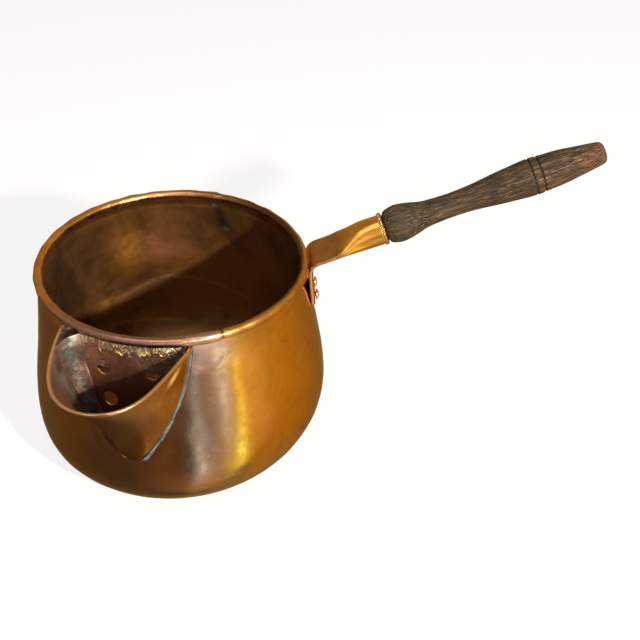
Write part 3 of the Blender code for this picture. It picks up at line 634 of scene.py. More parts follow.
def make_pan():
    rows, kind = pan_profile()
    count = 336
    az = -180.0 + 360.0 * np.arange(count) / count
    ca, sa = np.cos(np.radians(az)), np.sin(np.radians(az))
    swell = bead_swell(az)
    rim_shift = hammered(az, np.full(count, 143.0)) + 1.1 * bump(az, -13.0, 14.0)
    # between the lap and the handle the edge isn't quite closed against the wall
    open_seam = step(az, JOINT_AZ, 0.6) * step(JOINT_AZ + 20.0, az, 2.5)
    grid = np.zeros((len(rows), count, 3))
    rr = np.zeros((len(rows), count))
    for i, (what, a, b) in enumerate(rows):
        if what in ("wall", "inwall"):
            blend = np.clip((143.0 - b) / 8.0, 0, 1)
            shift = hammered(az, np.full(count, b)) * blend + rim_shift * (1 - blend)
            r, z = a + shift, np.full(count, b)
        elif what in ("curl", "bead"):
            end = max(0.0, (math.degrees(-b) - 55.0) / 45.0)  # 1 at the sheet's end
            ang = b + np.radians(24.0 * open_seam) * end
            rad = a + (swell if what == "bead" else 0.0)
            r, z = BEAD_R + rim_shift + rad * np.cos(ang), BEAD_Z + rad * np.sin(ang)
        else:
            r, z = np.full(count, a), np.full(count, b)
            if what == "floor":
                z = z + 0.25 * bump(a, 52.0, 1.6) + 0.12 * bump(a, 30.0, 1.2) + 0.10 * np.cos(a * 0.9) * (a > 8)
        rr[i] = r
        grid[i] = np.stack([r * ca, r * sa, z + 0 * ca], 1)
    grid[:, :, 2] = np.minimum(grid[:, :, 2], 148.78)
    slots = [0 if k == 0 else 1 if k == 1 else 2 for k in kind]
    mesh = mesh_from_grid("pan_body_shape", grid, cap_start=True, cap_end=True, slots=slots)
    face_out(mesh)
    z = grid[:, :, 2].ravel()
    A = np.tile(az, len(rows))
    k = np.repeat(np.array(kind), count)
    R = rr.ravel()
    # attributes for the colours
    seam = np.interp(z, [60.0, 62.3, 68.0, 76.5, 86.5, 97.6, 109.4, 119.4, 128.0, 136.8, 143.0],
                     [3.0, 7.5, 9.3, 12.0, 15.2, 18.6, 21.6, 24.0, 25.9, 27.4, 27.8])
    off = A - SPOUT_AZ
    right_edge = np.interp(z, [0.0, 40.0, 80.0, 125.0, 145.0], [-62.0, -63.5, -66.0, -67.5, -68.0])
    patina = step(A, -126.0, 6.0) * step(right_edge, A, 1.1) * step(z, 24.0, 4.0)
    patina = np.maximum(patina, 0.45 * bump(A, 170.0, 38.0) * bump(z, 60.0, 50.0))
    pink = np.clip(step(A, -83.0, 1.0) * step(-65.5, A, 1.6) * step(z, 124.5, 1.2), 0, 1) * (k == 0)
    pink = np.maximum(pink, 0.4 * bump(A, -72.0, 2.5) * bump(z, 112.0, 12.0) * (k == 0))
    pink = np.maximum(pink, 0.75 * bump(np.hypot(np.radians(A + 76.2) * 90.0 - 0.5, z - 138.0), 14.4, 1.1) * (z < 132) * (k == 0))
    # pink on the rolled edge left of its lap and along the back is a painted highlight
    pink = np.maximum(pink, 0.9 * step(JOINT_AZ, A, 0.4) * step(A, -86.0, 2.5) * (k == 1))
    pink = np.maximum(pink, 0.35 * bump(A, 90.0, 30.0) * (k == 1))
    # painted shade under the rolled edge on the wall and on the edge's underside; darker along the foot; tarnish beside
    # the spout's seams
    grime_and_shade = 0.75 * bump(z, 142.6, 1.6) * (k == 0) + 0.5 * bump(z, 0.0, 2.0) * (k == 0)
    grime_and_shade += 0.35 * bump(np.abs(off), seam + 2.0, 1.2) * (z > 58) * (z < 142) * (k == 0)
    grime_and_shade += 0.8 * (k == 1) * (z < BEAD_Z - 2.5) * (R < BEAD_R + 0.6)
    # a painted dark reflection on the inner half of the rolled edge towards the handle
    grime_and_shade += 0.92 * (k == 1) * np.clip(1.6 * bump(A, 5.0, 62.0), 0, 1) * step(BEAD_R + 0.1, R, 0.35)
    grime_and_shade = grime_and_shade * (1 - 0.9 * bump(A, 0.0, 10.0) * (k == 0))
    # a dark line at the rolled edge's lap, and painted shade in the open seam under the edge beyond it
    grime_and_shade += 0.9 * (k == 1) * bump(A, JOINT_AZ + 0.4, 0.4) + 0.8 * (k == 0) * bump(z, 142.2, 0.9) * step(A, JOINT_AZ, 0.3) * step(-42.0, A, 4.0)
    # painted shade in the crease the folded edge leaves along the wall
    grime_and_shade += 0.30 * (k == 0) * bump(z, 137.2 + 0.5 * np.cos(np.radians(A * 7.0)), 0.5) * step(A, JOINT_AZ + 1.0, 0.7) * step(-8.0, A, 6.0)
    inner = k == 2
    mid_mark = 70.0 - (139.0 - z) * 0.085
    stain = 0.95 * bump(A, mid_mark, 2.5 - (139.0 - z) * 0.035) ** 0.45 * step(z, 117.0, 1.0) * step(139.0, z, 1.2) * inner
    stain = np.maximum(stain, 0.30 * bump(A, 66.0, 12.0) * bump(z, 128.0, 14.0) * inner)
    stain = np.maximum(stain, 0.55 * bump(z, 142.5, 3.0) * inner)
    stain = np.maximum(stain, 0.62 * bump(z, 108.0, 40.0) * bump(A, 165.0, 27.0) * inner)
    verd = (bump(A, 71.6, 0.9) * bump(z, 138.6, 1.6) + 0.9 * bump(A, 67.4, 1.2) * bump(z, 117.3, 1.7)) * inner
    tide = np.interp(A, [60.0, 68.0, 83.0, 97.0, 110.0, 125.0, 140.0], [48.0, 52.0, 60.0, 65.0, 60.0, 51.0, 40.0])
    verd = verd + 0.30 * bump(z, tide, 1.5) * step(A, 58.0, 4.0) * step(138.0, A, 4.0) * inner + 0.6 * bump(z, 65.0, 1.6) * bump(A, 97.5, 1.8) * inner
    mark = 0.9 * bump(A, 116.0, 7.5) * bump(z, 100.0, 19.0) + 0.7 * bump(A, 127.0, 6.0) * bump(z, 52.0, 7.0)
    mark = (mark + 0.7 * bump(z, 24.0 + 0.25 * (A - 98.0), 1.0) * bump(A, 106.0, 15.0) + 0.35 * bump(z, 136.6, 1.2) + 0.4 * bump(z, 31.0, 0.9) * bump(A, 112.0, 14.0)) * inner
    rosy = (bump(A, 103.5, 4.5) * bump(z, 101.0, 13.0) + 0.6 * bump(A, 124.0, 8.0) * bump(z, 50.0, 6.0) + 0.5 * bump(A, 92.0, 8.0) * bump(z, 92.0, 9.0)) * inner
    lavender = np.clip(step(A, -138.0, 3.0) * step(-69.2, A, 0.6), 0, 1) * (k == 1)
    for name, v in (("patina", patina), ("pink", pink), ("grime_and_shade", np.clip(grime_and_shade, 0, 1)), ("stain", stain), ("verdigris", np.clip(verd, 0, 1)), ("mark", np.clip(mark, 0, 1)), ("rosy", np.clip(rosy, 0, 1)), ("lavender", lavender)):
        attribute(mesh, name, v)
    attribute(mesh, "low", step(118.0, z, 5.0))
    pan = add("pan", mesh, M["out"], M["rim"], M["in"], M["pocket"])
    # the wall inside the spout has its own finish
    co = np.zeros(len(mesh.polygons) * 3); mesh.polygons.foreach_get("center", co)
    co = co.reshape(-1, 3) / MM
    pa = np.degrees(np.arctan2(co[:, 1], co[:, 0])); pz = co[:, 2]
    sw = np.interp(pz, [60.0, 62.3, 68.0, 76.5, 86.5, 97.6, 109.4, 119.4, 128.0, 136.8, 143.0], [1.0, 5.5, 7.3, 10.0, 13.6, 17.0, 20.2, 22.6, 24.6, 26.2, 26.8])
    mi = np.zeros(len(mesh.polygons), np.int32); mesh.polygons.foreach_get("material_index", mi)
    mi[(mi == 0) & (np.abs(pa - SPOUT_AZ) < sw) & (pz > 61.0)] = 3
    mesh.polygons.foreach_set("material_index", mi)
    leant(mesh)
    for i, (a, h) in enumerate(HOLES):
        cutter = bored(f"strainer_{i}", a, h)
        leant(cutter.data)
        boolean(pan, cutter)
    for side in (-1, 1):
        boolean(pan, shank(f"wall_rivet_{side}", side))
    apply_modifiers(pan)
    return pan


def bored(name, az, z):
    """A punched hole's cutter: a little wider at both faces, so the edges are eased, and not perfectly round."""
    r = HOLE_DIAMETER / 2
    prof = np.array([(r + 1.0, -6.0), (r + 1.0, -1.75), (r + 0.25, -0.95), (r, -0.5), (r, 0.05), (r + 0.35, 0.55), (r + 1.2, 1.3), (r + 1.2, 5.0)])
    seg = 40
    t = 2 * math.pi * np.arange(seg) / seg
    wob = 1 + 0.012 * np.cos(2 * t + az) + 0.008 * np.cos(3 * t + z)
    grid = np.stack([np.outer(prof[:, 0], np.cos(t) * wob), np.outer(prof[:, 0], np.sin(t) * wob), np.repeat(prof[:, 1:2], seg, 1)], -1)
    a = math.radians(az)
    slope = (wall_radius(z + 2) - wall_radius(z - 2)) / 4
    n = np.array([math.cos(a), math.sin(a), -slope]); n /= np.linalg.norm(n)
    e1 = np.array([-math.sin(a), math.cos(a), 0.0]); e2 = np.cross(n, e1)
    c = np.array([wall_radius(z) * math.cos(a), wall_radius(z) * math.sin(a), z]) - n * 0.25
    world = c + grid[..., :1] * e1 + grid[..., 1:2] * e2 + grid[..., 2:] * n
    mesh = mesh_from_grid(name, world, cap_start=True, cap_end=True)
    face_out(mesh)
    return helper(name, mesh)


def shank(name, side):
    bm = bmesh.new()
    bmesh.ops.create_cone(bm, cap_ends=True, segments=20, radius1=1.9 * MM, radius2=1.9 * MM, depth=14 * MM,
                          matrix=Matrix.Translation((90.5 * MM, side * RIVET_Y * MM, RIVET_Z * MM)) @ Matrix.Rotation(math.pi / 2, 4, "Y"))
    mesh = bpy.data.meshes.new(name)
    bm.to_mesh(mesh)
    bm.free()
    return helper(name, mesh)


HELPERS = []


def helper(name, mesh):
    ob = bpy.data.objects.new(name, mesh)
    bpy.context.scene.collection.objects.link(ob)
    ob.hide_render = True
    HELPERS.append(ob)
    return ob


def boolean(ob, cutter, operation="DIFFERENCE"):
    mod = ob.modifiers.new("cut", "BOOLEAN")
    mod.operation = operation
    mod.object = cutter
    mod.solver = "EXACT"


def apply_modifiers(ob):
    dg = bpy.context.evaluated_depsgraph_get()
    dg.update()
    mesh = bpy.data.meshes.new_from_object(ob.evaluated_get(dg), preserve_all_data_layers=True, depsgraph=dg)
    ob.modifiers.clear()
    old = ob.data
    ob.data = mesh
    mesh.name = old.name
    for h in list(HELPERS):
        bpy.data.objects.remove(h)
    HELPERS.clear()


# ------------------------------------------------------------ spout
LIP_FINE = smooth_path(LIP, 161)
EX = np.array([math.cos(math.radians(SPOUT_AZ)), math.sin(math.radians(SPOUT_AZ)), 0.0])
EY = np.array([-EX[1], EX[0], 0.0])
EZ = np.array([0.0, 0.0, 1.0])
_W = smooth_path(HALF_WIDTH, 120)


def spout_surface(t, s):
    """(across, outward, up) in mm: t from 0 to 1 along the lip, s from 0 at the point to 1 at the lip."""
    t, s = np.broadcast_arrays(np.asarray(t, float), np.asarray(s, float))
    i = np.linspace(0, 1, len(LIP_FINE))
    across, out, top = (np.interp(t, i, LIP_FINE[:, k]) for k in range(3))
    w = np.interp(s, _W[:, 0], _W[:, 1])
    z = TIP_Z + (top - TIP_Z) * s
    v = across * w + TIP_SHIFT * (1 - s) ** 2
    at_wall = np.sqrt(np.maximum(wall_radius(z) ** 2 - v * v, 1.0))
    at_lip = np.sqrt(np.maximum(wall_radius(top) ** 2 - across * across, 1.0))
    u = at_wall + (out - at_lip) * s**LIP_POWER
    return np.stack([v, u, z], -1)


def to_world(p):
    return p[..., :1] * EY + p[..., 1:2] * EX + p[..., 2:] * EZ


def spout_grid():
    t = np.linspace(0, 1, 121)
    s = np.concatenate([[0.0], np.linspace(0.012, 0.93, 44), np.linspace(0.94, 1.0, 16)])
    T, S = np.meshgrid(t, s, indexing="ij")
    g = spout_surface(T, S)
    sides = []
    for k in (0, -1):
        line = g[k].copy()
        a = np.sqrt(np.maximum((wall_radius(line[:, 2]) - 0.22) ** 2 - line[:, 0] ** 2, 1.0))
        a = np.minimum(a, line[:, 1])
        for f in (1.0, 0.5):
            q = line.copy()
            q[:, 1] = line[:, 1] + (a - line[:, 1]) * f - (0.02 if f == 1.0 else 0.0)
            sides.append(q)
    g = np.concatenate([[sides[0]], [sides[1]], g, [sides[3]], [sides[2]]])
    return g, s


def make_spout():
    g, s = spout_grid()
    dt, ds = np.gradient(g, axis=0), np.gradient(g, axis=1)
    n = np.cross(dt, ds)
    n /= np.maximum(np.linalg.norm(n, axis=2), 1e-9)[:, :, None]
    if n[g.shape[0] // 2, 30, 1] < 0:
        n = -n
    length = 85.0
    down = (1 - s) * length  # distance below the lip
    ti = np.linspace(0, 1, g.shape[0])
    ripple = Waves(41, 14, (1, 9), (0.0, 0.0))
    dents = 0.16 * ripple(ti[:, None] * 150.0, 0.0 * s[None, :]) * np.clip(s[None, :] * 2.0, 0, 1) * np.clip(down[None, :] / 6.0, 0, 1)
    g = g + n * dents[..., None]
    # the lip is folded back on the outside: about 3 mm deep, with its own soft step
    uneven = 0.25 * np.cos(ti * 31.0 + 0.6) + 0.18 * np.cos(ti * 67.0 + 2.0)
    hem = step(2.5 + uneven[:, None], down[None, :], 0.16)
    round_off = np.sqrt(np.clip(down / 1.25, 0.0, 1.0) * (2 - np.clip(down / 1.25, 0.0, 1.0)))
    outer = (SPOUT_SHEET / 2 + 0.8 * hem)
    inner = np.full_like(outer, SPOUT_SHEET / 2)
    mid = (outer - inner) / 2
    outer = mid + (outer - mid) * round_off[None, :]
    inner = -mid + (inner + mid) * round_off[None, :]
    go = g + n * outer[..., None]
    gi = g - n * inner[..., None]
    ring = np.concatenate([go, gi[:, ::-1]], 1)
    world = to_world(ring)
    world[..., 2] = np.minimum(world[..., 2], 145.0)
    mesh = mesh_from_grid("spout_shape", world, cap_start=True, cap_end=True)
    face_out(mesh)
    m = len(s)
    dn = np.concatenate([np.tile(down, (g.shape[0], 1)), np.tile(down[::-1], (g.shape[0], 1))], 1)
    tt = np.repeat(ti[:, None], 2 * m, 1)
    inside = np.concatenate([np.zeros((g.shape[0], m)), np.ones((g.shape[0], m))], 1)
    zz = world[..., 2]
    edge = step(3.0, dn, 0.5) * (1 - 0.2 * inside) + 0.6 * step(1.3, dn, 0.3)
    left = np.clip(1 - np.abs(tt - 0.03) / 0.13, 0, 1)
    smear = np.clip(1.6 * bump(tt, 0.10 + 0.16 * np.clip(dn / 60.0, 0, 1), 0.055 + 0.03 * (dn < 20)), 0, 1) * step(dn, 1.5, 1.0)
    smear = np.maximum(smear, 0.7 * bump(tt, 0.985, 0.02))
    # painted shade deep down the middle of the spout
    deep_spout_shade = np.clip(0.9 * bump(dn, 62.0, 26.0) * bump(tt, 0.48, 0.30), 0, 1)
    # dark along the spout's joints with the wall, and painted shade under the step of the folded lip
    grime_and_shade = 0.5 * np.clip(bump(tt, 1.0, 0.012) + bump(tt, 0.0, 0.012), 0, 1) + 0.5 * bump(dn, 3.6, 0.35) * (1 - inside)
    pink = 0.55 * bump(tt, 0.78, 0.10) * bump(dn, 14.0, 12.0)
    shade = step(0.74, tt, 0.17) * step(dn, 6.0, 5.0) * (1 - inside)
    glint = np.clip(1.5 * bump(tt, 0.895, 0.034) * bump(dn, 8.0 + (0.895 - tt) * 50.0, 2.2), 0, 1) * (1 - inside)
    for name, v in (("edge", np.clip(edge, 0, 1)), ("solder", smear), ("deep_spout_shade", deep_spout_shade), ("grime_and_shade", np.clip(grime_and_shade, 0, 1)), ("pink", pink), ("shade", shade), ("glint", glint)):
        attribute(mesh, name, v.ravel())
    ob = add("pouring_spout", mesh, M["spout_out"], M["spout_in"])
    quads = (g.shape[0] - 1) * 2 * m
    col = np.tile(np.arange(2 * m), g.shape[0] - 1)
    slot = (col >= m).astype(np.int32)
    full = np.zeros(len(mesh.polygons), np.int32)
    full[:quads] = slot[:quads]
    mesh.polygons.foreach_set("material_index", full)
    leant(mesh)
    return ob


# ------------------------------------------------------------ solder
def seam_frames(side, count, s0, s1, sheet=0.65):
    """Points along the joint of spout and wall, with the direction along the wall away from the spout and up the spout."""
    s = s0 + (s1 - s0) * np.linspace(0, 1, count) ** 1.25
    t_edge = 0.0 if side < 0 else 1.0
    p = spout_surface(np.full(count, t_edge), s)
    z = p[:, 2]
    r = wall_radius(z)
    az = math.radians(SPOUT_AZ) + np.arcsin(np.clip(p[:, 0] / r, -1, 1))
    at = np.stack([r * np.cos(az), r * np.sin(az), z], -1)
    normal = np.stack([np.cos(az), np.sin(az), -(wall_radius(z + 1) - wall_radius(z - 1)) / 2], -1)
    normal /= np.linalg.norm(normal, axis=1)[:, None]
    along = np.gradient(at, axis=0)
    along /= np.linalg.norm(along, axis=1)[:, None]
    away = np.cross(along, normal) * 1.0
    away /= np.linalg.norm(away, axis=1)[:, None]
    flip = np.sign((away * (EY * side)).sum(1))
    flip[np.abs((away * (EY * side)).sum(1)) < 0.05] = np.median(flip)
    away *= np.where(flip == 0, 1, flip)[:, None]
    up = to_world(spout_surface(np.full(count, t_edge + (-0.06 if side > 0 else 0.06)), s)) - to_world(p)
    up /= np.maximum(np.linalg.norm(up, axis=1), 1e-9)[:, None]
    return at, normal, away, up, s


def join_grids(name, parts):
    """One mesh from several closed grids, each with its material slot and its colour values."""
    verts, faces, slots, values = [], [], [], {}
    for grid, slot, marks in parts:
        mesh = mesh_from_grid("part", grid, cap_start=True, cap_end=True)
        face_out(mesh)
        base = len(verts)
        count = grid.shape[0] * grid.shape[1]
        verts += [tuple(v.co) for v in mesh.vertices]
        faces += [[base + i for i in p.vertices] for p in mesh.polygons]
        slots += [slot] * len(mesh.polygons)
        for key in ("edge", "low", "thick", "cool"):
            full = np.zeros(len(mesh.vertices))
            if key in marks:
                full[:count] = np.asarray(marks[key]).ravel()
            values.setdefault(key, []).append(full)
        bpy.data.meshes.remove(mesh)
    mesh = bpy.data.meshes.new(name + "_shape")
    mesh.from_pydata(verts, [], faces)
    mesh.update()
    mesh.polygons.foreach_set("material_index", slots)
    for key, v in values.items():
        attribute(mesh, key, np.concatenate(v))
    return mesh


def solder_seam(name, side, mats, s0=0.0, s1=0.985):
    """A run of solder along the outside of the joint, and solder wiped into the corner inside."""
    count = 190
    at, normal, away, up, s = seam_frames(side, count, s0, s1)
    k = np.linspace(0, 1, count)
    w = Waves(53 + side, 14, (3, 26), (0.0, 0.0))(k * 160.0, k * 0)
    w2 = Waves(71 + side, 10, (2, 12), (0.0, 0.0))(k * 160.0, k * 0)
    ends = np.clip(k / 0.06, 0.1, 1) * np.clip((1 - k) / 0.03, 0.3, 1)
    size = 1.35 if side > 0 else 0.30
    rag = 1.0 if side > 0 else 0.0
    on_wall = (1.15 + 0.30 * bump(k, 0.40, 0.25) + rag * (0.08 * w2 + 0.07 * w)) * ends * size
    on_spout = (0.9 + 0.20 * bump(k, 0.40, 0.2) + rag * 0.08 * w) * ends * size
    fill = 0.5 + 0.08 * w2
    if side > 0:
        on_wall = on_wall + 0.5 * bump(k, 0.60, 0.02) + 0.35 * bump(k, 0.30, 0.014)
    a0 = at + away * (0.65 + on_wall)[:, None] + normal * 0.02
    b0 = at + away * 0.65 + up * on_spout[:, None] + normal * (on_spout * 0.75 + 0.25)[:, None]
    corner = at + away * 0.65
    rows = []
    for q in np.linspace(0, 1, 9):
        line = a0 * (1 - q) + b0 * q
        pull = corner - (a0 + b0) / 2
        h = 4 * q * (1 - q)
        rows.append(line + pull * (h * (0.62 - fill * 0.55))[:, None] + normal * (0.25 * h))
    rows.append(at - normal * 0.35 + away * 0.1)
    rows.append(a0 - normal * 0.5 - away * 0.4)
    e = np.zeros((count, len(rows)))
    e[:, 0] = 1.0; e[:, 1] = 0.6; e[:, -1] = 1.0; e[:, 8] = 0.5
    parts = [(np.stack(rows, 1), 0, {"edge": e})]
    # inside the spout
    s_in = np.linspace(0.02, 0.99, 150)
    kk = (s_in - s_in[0]) / (s_in[-1] - s_in[0])
    edge_t = 0.0 if side < 0 else 1.0
    inward = 1.0 if side < 0 else -1.0
    wav = Waves(97 + side, 8, (2, 10), (0.0, 0.0))(kk * 150.0, kk * 0)
    p = spout_surface(np.full(150, edge_t), s_in)
    z = p[:, 2]
    reach = (0.34 if side < 0 else 0.10) * (1 + 0.05 * wav)
    v2 = p[:, 0] * (1 - reach)
    wall = np.stack([v2, np.sqrt(np.maximum((wall_radius(z) - 0.25) ** 2 - v2**2, 1.0)), z], -1)
    reach_t = (0.095 if side < 0 else 0.03) * (1 + 0.06 * Waves(109 + side, 8, (2, 10), (0.0, 0.0))(kk * 150.0, kk * 0))
    sp = spout_surface(edge_t + inward * reach_t, s_in)
    near = spout_surface(edge_t + inward * (reach_t + 0.01), s_in)
    higher = spout_surface(edge_t + inward * reach_t, np.minimum(s_in + 0.01, 1.0))
    nn = np.cross(near - sp, higher - sp)
    nn /= np.maximum(np.linalg.norm(nn, axis=1), 1e-9)[:, None]
    middle = np.array([0.0, 95.0, 0.0]) + sp * np.array([0.0, 0.0, 1.0])
    nn *= np.sign((nn * (middle - sp)).sum(1))[:, None]
    sp = sp + nn * (SPOUT_SHEET / 2 - 0.22)
    corner = p + np.array([0.0, 0.4, 0.0]) + nn * 0.3
    pull = corner * 0.45 + (wall + sp) / 2 * 0.55
    rows = [wall * (1 - q) ** 2 + 2 * q * (1 - q) * pull + sp * q**2 for q in np.linspace(0, 1, 13)]
    lumps = Waves(131 + side, 30, (10, 60), (0.2, 1.2))
    for i in range(1, 12):
        rows[i] = rows[i] + nn * (0.05 * math.sin(math.pi * i / 12) * lumps(kk * 150.0, np.full(150, i * 0.7)))[:, None]
    rows.append(sp - nn * 0.4)
    rows.append(corner - nn * 0.2)
    rows.append(wall - np.array([0.0, 0.4, 0.0]))
    grid = to_world(np.stack(rows, 1))
    e = np.zeros((150, len(rows)))
    for i, v in ((0, 1.0), (1, 0.9), (2, 0.7), (3, 0.45), (4, 0.2), (9, 0.3), (10, 0.55), (11, 0.8), (12, 1.0), (13, 1), (15, 1)):
        e[:, i] = v
    # painted shade lower down the corner between spout and wall
    low = np.repeat(np.clip((0.62 - s_in) / 0.35, 0, 1)[:, None], len(rows), 1)
    # grey solder over the upper part of the corner, at full strength near the top as painted light on the shade the
    # rolled edge casts there
    cool = np.repeat((0.26 * step(s_in, 0.62, 0.08) + 0.74 * step(s_in, 0.925, 0.012))[:, None], len(rows), 1) * (1.0 if side < 0 else 0.4)
    parts.append((grid, 1, {"edge": e, "low": low, "cool": cool}))
    mesh = join_grids(name, parts)
    leant(mesh)
    return add(name, mesh, *mats)


def rim_solder():
    """Solder that has run and spattered down the wall under the rolled edge, inside the spout."""
    cols, rows_n = 560, 84
    k = np.linspace(0, 1, cols)
    az = SPOUT_AZ - 26.8 + 53.6 * k
    z = np.linspace(143.3, 124.0, rows_n)
    AZ, Zg = np.meshgrid(az, z, indexing="ij")
    K = (AZ - az[0]) / (az[-1] - az[0])
    fine = Waves(201, 90, (90, 420), (0.6, 3.4))
    mid = Waves(202, 60, (30, 120), (0.2, 1.0))
    drip = Waves(203, 22, (14, 60), (0.0, 0.0))(az, az * 0)
    low = 136.2 - 0.45 * drip + 2.2 * step(k, 0.84, 0.03) - 3.5 * bump(k, 0.02, 0.08) + 1.0 * bump(k, 0.30, 0.05)
    for c, depth, wide in ((0.10, 2.2, 0.020), (0.19, 1.6, 0.018), (0.345, 2.6, 0.015), (0.42, 1.6, 0.018), (0.52, 2.0, 0.022), (0.575, 3.4, 0.015), (0.64, 2.4, 0.014), (0.73, 1.0, 0.02)):
        low = low - depth * np.exp(-(np.abs(k - c) / wide) ** 3)
    low = np.maximum(low, 126.5)
    over = (Zg - low[:, None])
    h = 0.24 * np.clip(over / 1.5, -1.0, 1.0) + 0.045 * mid(AZ, Zg) + 0.05 * fine(AZ, Zg)
    h = h + 0.45 * bump(over + 0.5 * mid(AZ, Zg * 0 + 20.0), 1.0, 0.65) * np.clip(0.4 + drip[:, None], 0, 1.2)
    h = h - 0.22 * np.clip(mid(AZ, Zg + 50.0) - 0.6, 0, 2)
    h = np.clip(h, -0.5, 0.95)
    h = h * np.clip(np.minimum(k, 1 - k) / 0.01, 0, 1)[:, None] - 0.3 * (np.minimum(k, 1 - k) < 0.004)[:, None]
    R = wall_radius(Zg) + h + 0.02
    top = np.stack([R * np.cos(np.radians(AZ)), R * np.sin(np.radians(AZ)), Zg], -1)
    Rb = wall_radius(Zg) - 0.6
    back = np.stack([Rb * np.cos(np.radians(AZ)), Rb * np.sin(np.radians(AZ)), Zg], -1)
    grid = np.concatenate([top, back[:, ::-1][:, ::12]], 1)
    extra = grid.shape[1] - rows_n
    pad = np.zeros((cols, extra))
    thick = np.clip(h / 0.38, 0, 1) * np.clip(over / 0.6, 0, 1)
    cool = np.clip(bump(K, 0.0, 0.16) + 0.5 * bump(K, 0.98, 0.05), 0, 1)
    mesh = join_grids("solder_under_rim", [(grid, 0, {"thick": np.concatenate([thick, pad], 1), "cool": np.concatenate([cool, pad], 1)})])
    leant(mesh)
    return add("solder_under_rim", mesh, M["splash"])


# ------------------------------------------------------------ handle socket
def socket_rows(n):
    rows = [(STRAP_X_LOW, STRAP_FOOT_Z, 92.5, STRAP_HALF_W - 2.2, STRAP_HALF_T - 0.25, 5.0)]
    for z in (STRAP_FOOT_Z + 0.9, STRAP_FOOT_Z + 2.6, 125.0, 134.0):
        x = STRAP_X_LOW + (STRAP_X_HIGH - STRAP_X_LOW) * (z - STRAP_FOOT_Z) / (BEND_Z - STRAP_FOOT_Z)
        rows.append((x, z, 92.5, STRAP_HALF_W - (0.7 if z < STRAP_FOOT_Z + 1.5 else 0.0), STRAP_HALF_T, 5.0))
    for a in np.linspace(0.0, 90.0 - SOCKET_SLOPE, 9):
        rows.append((STRAP_X_HIGH + BEND_R * (1 - math.cos(math.radians(a))), BEND_Z + BEND_R * math.sin(math.radians(a)), 90.0 - a, STRAP_HALF_W, STRAP_HALF_T + 0.05, 5.0))
    shape = [(14.6, 1.6, 5.0), (14.4, 2.1, 4.5), (14.1, 3.4, 3.4), (13.2, 5.4, 2.7), (12.0, 7.4, 2.3), (10.9, 9.0, 2.1)]
    for (x, z), (w, t, q) in zip(SOCKET_LINE, shape):
        rows.append((x, z, SOCKET_SLOPE, w, t, q))
    for k in (0.0, 0.33, 0.66, 1.0):
        x = 128.5 + (MOUTH[0] - 128.5) * k
        rows.append((x, MOUTH[1] + (x - MOUTH[0]) * math.tan(math.radians(HANDLE_SLOPE)), HANDLE_SLOPE, TUBE_R + (0.3 if k == 0 else 0.0), TUBE_R - (0.2 if k == 0 else 0.0), 2.0))
    return smooth_path(rows, n)


def make_socket():
    rows = socket_rows(150)
    rows[:, 0] -= 1.0 * step(150.0, rows[:, 1], 1.4) * step(rows[:, 1], 125.0, 3.0)
    around = 96
    th = 2 * math.pi * (np.arange(around) + 0.5) / around
    outer = np.zeros((len(rows), around, 3))
    wob = Waves(67, 12, (2, 7), (0.1, 0.4))
    dist = np.concatenate([[0], np.cumsum(np.hypot(np.diff(rows[:, 0]), np.diff(rows[:, 1])))])
    for i, (x, z, slope, w, t, q) in enumerate(rows):
        a = math.radians(slope)
        up = np.array([-math.sin(a), 0.0, math.cos(a)])
        q = max(q, 2.0)
        c, s = np.cos(th), np.sin(th)
        y = w * np.sign(c) * np.abs(c) ** (2 / q)
        h = t * np.sign(s) * np.abs(s) ** (2 / q)
        # between flat and round the tube's sides are pinched into a crease
        pinch = bump(x, 113.0, 7.5) if x > 100 else 0.0
        h = h * (1 - 0.16 * pinch * np.abs(c) ** 3)
        y = y * (1 + 0.02 * pinch)
        rough = 0.07 * wob(np.degrees(th) + 0 * th, np.full(around, dist[i]))
        y, h = y + rough * np.cos(th) * (t > 2), h + rough * np.sin(th)
        outer[i] = np.array([x, 0.0, z]) + h[:, None] * up + y[:, None] * np.array([0.0, 1.0, 0.0])
        # the strap is bent to the wall's own curve
        outer[i, :, 0] -= y**2 / 180.0 * float(step(147.0, z, 1.5))
    inner = []
    for i in range(len(rows) - 1, -1, -1):
        x, z, slope, w, t, q = rows[i]
        if x < 112.0:
            break
        a = math.radians(slope)
        up = np.array([-math.sin(a), 0.0, math.cos(a)])
        q = max(q, 2.0)
        wi, ti = max(w - TUBE_WALL - (1.2 if t < 5 else 0.0), 1.0), max(t - TUBE_WALL, 0.4)
        y = wi * np.sign(np.cos(th)) * np.abs(np.cos(th)) ** (2 / q)
        h = ti * np.sign(np.sin(th)) * np.abs(np.sin(th)) ** (2 / q)
        inner.append(np.array([x, 0.0, z]) + h[:, None] * up + y[:, None] * np.array([0.0, 1.0, 0.0]))
    full = np.concatenate([outer, np.array(inner)])
    mesh = mesh_from_grid("socket_shape", full, cap_start=True, cap_end=True)
    face_out(mesh)
    edge = np.zeros((len(full), around))
    flat = np.array([(1.0 if rows[i, 4] < 2.0 else 0.0) for i in range(len(rows))])
    strap = np.array([1.0 if rows[i, 1] < 143.5 else 0.0 for i in range(len(rows))])
    side = np.abs(np.cos(th)) > 0.985
    edge[: len(rows)] = np.maximum(np.outer(flat * (0.45 + 0.55 * strap), side), np.outer(strap * 0.35, np.ones(around)))
    patina = np.zeros_like(edge)
    patina[: len(rows)] = np.outer(np.array([0.9 * step(113.0, rows[i, 0], 1.6) * (rows[i, 1] > 145) for i in range(len(rows))]), np.ones(around)) * (np.sin(th) > -0.2)
    attribute(mesh, "edge", edge.ravel())
    attribute(mesh, "patina", np.clip(patina, 0, 1).ravel())
    ob = add("handle_tube", mesh, M["socket"])
    for sd in (-1, 1):
        boolean(ob, shank(f"strap_rivet_{sd}", sd))
    apply_modifiers(ob)
    return ob


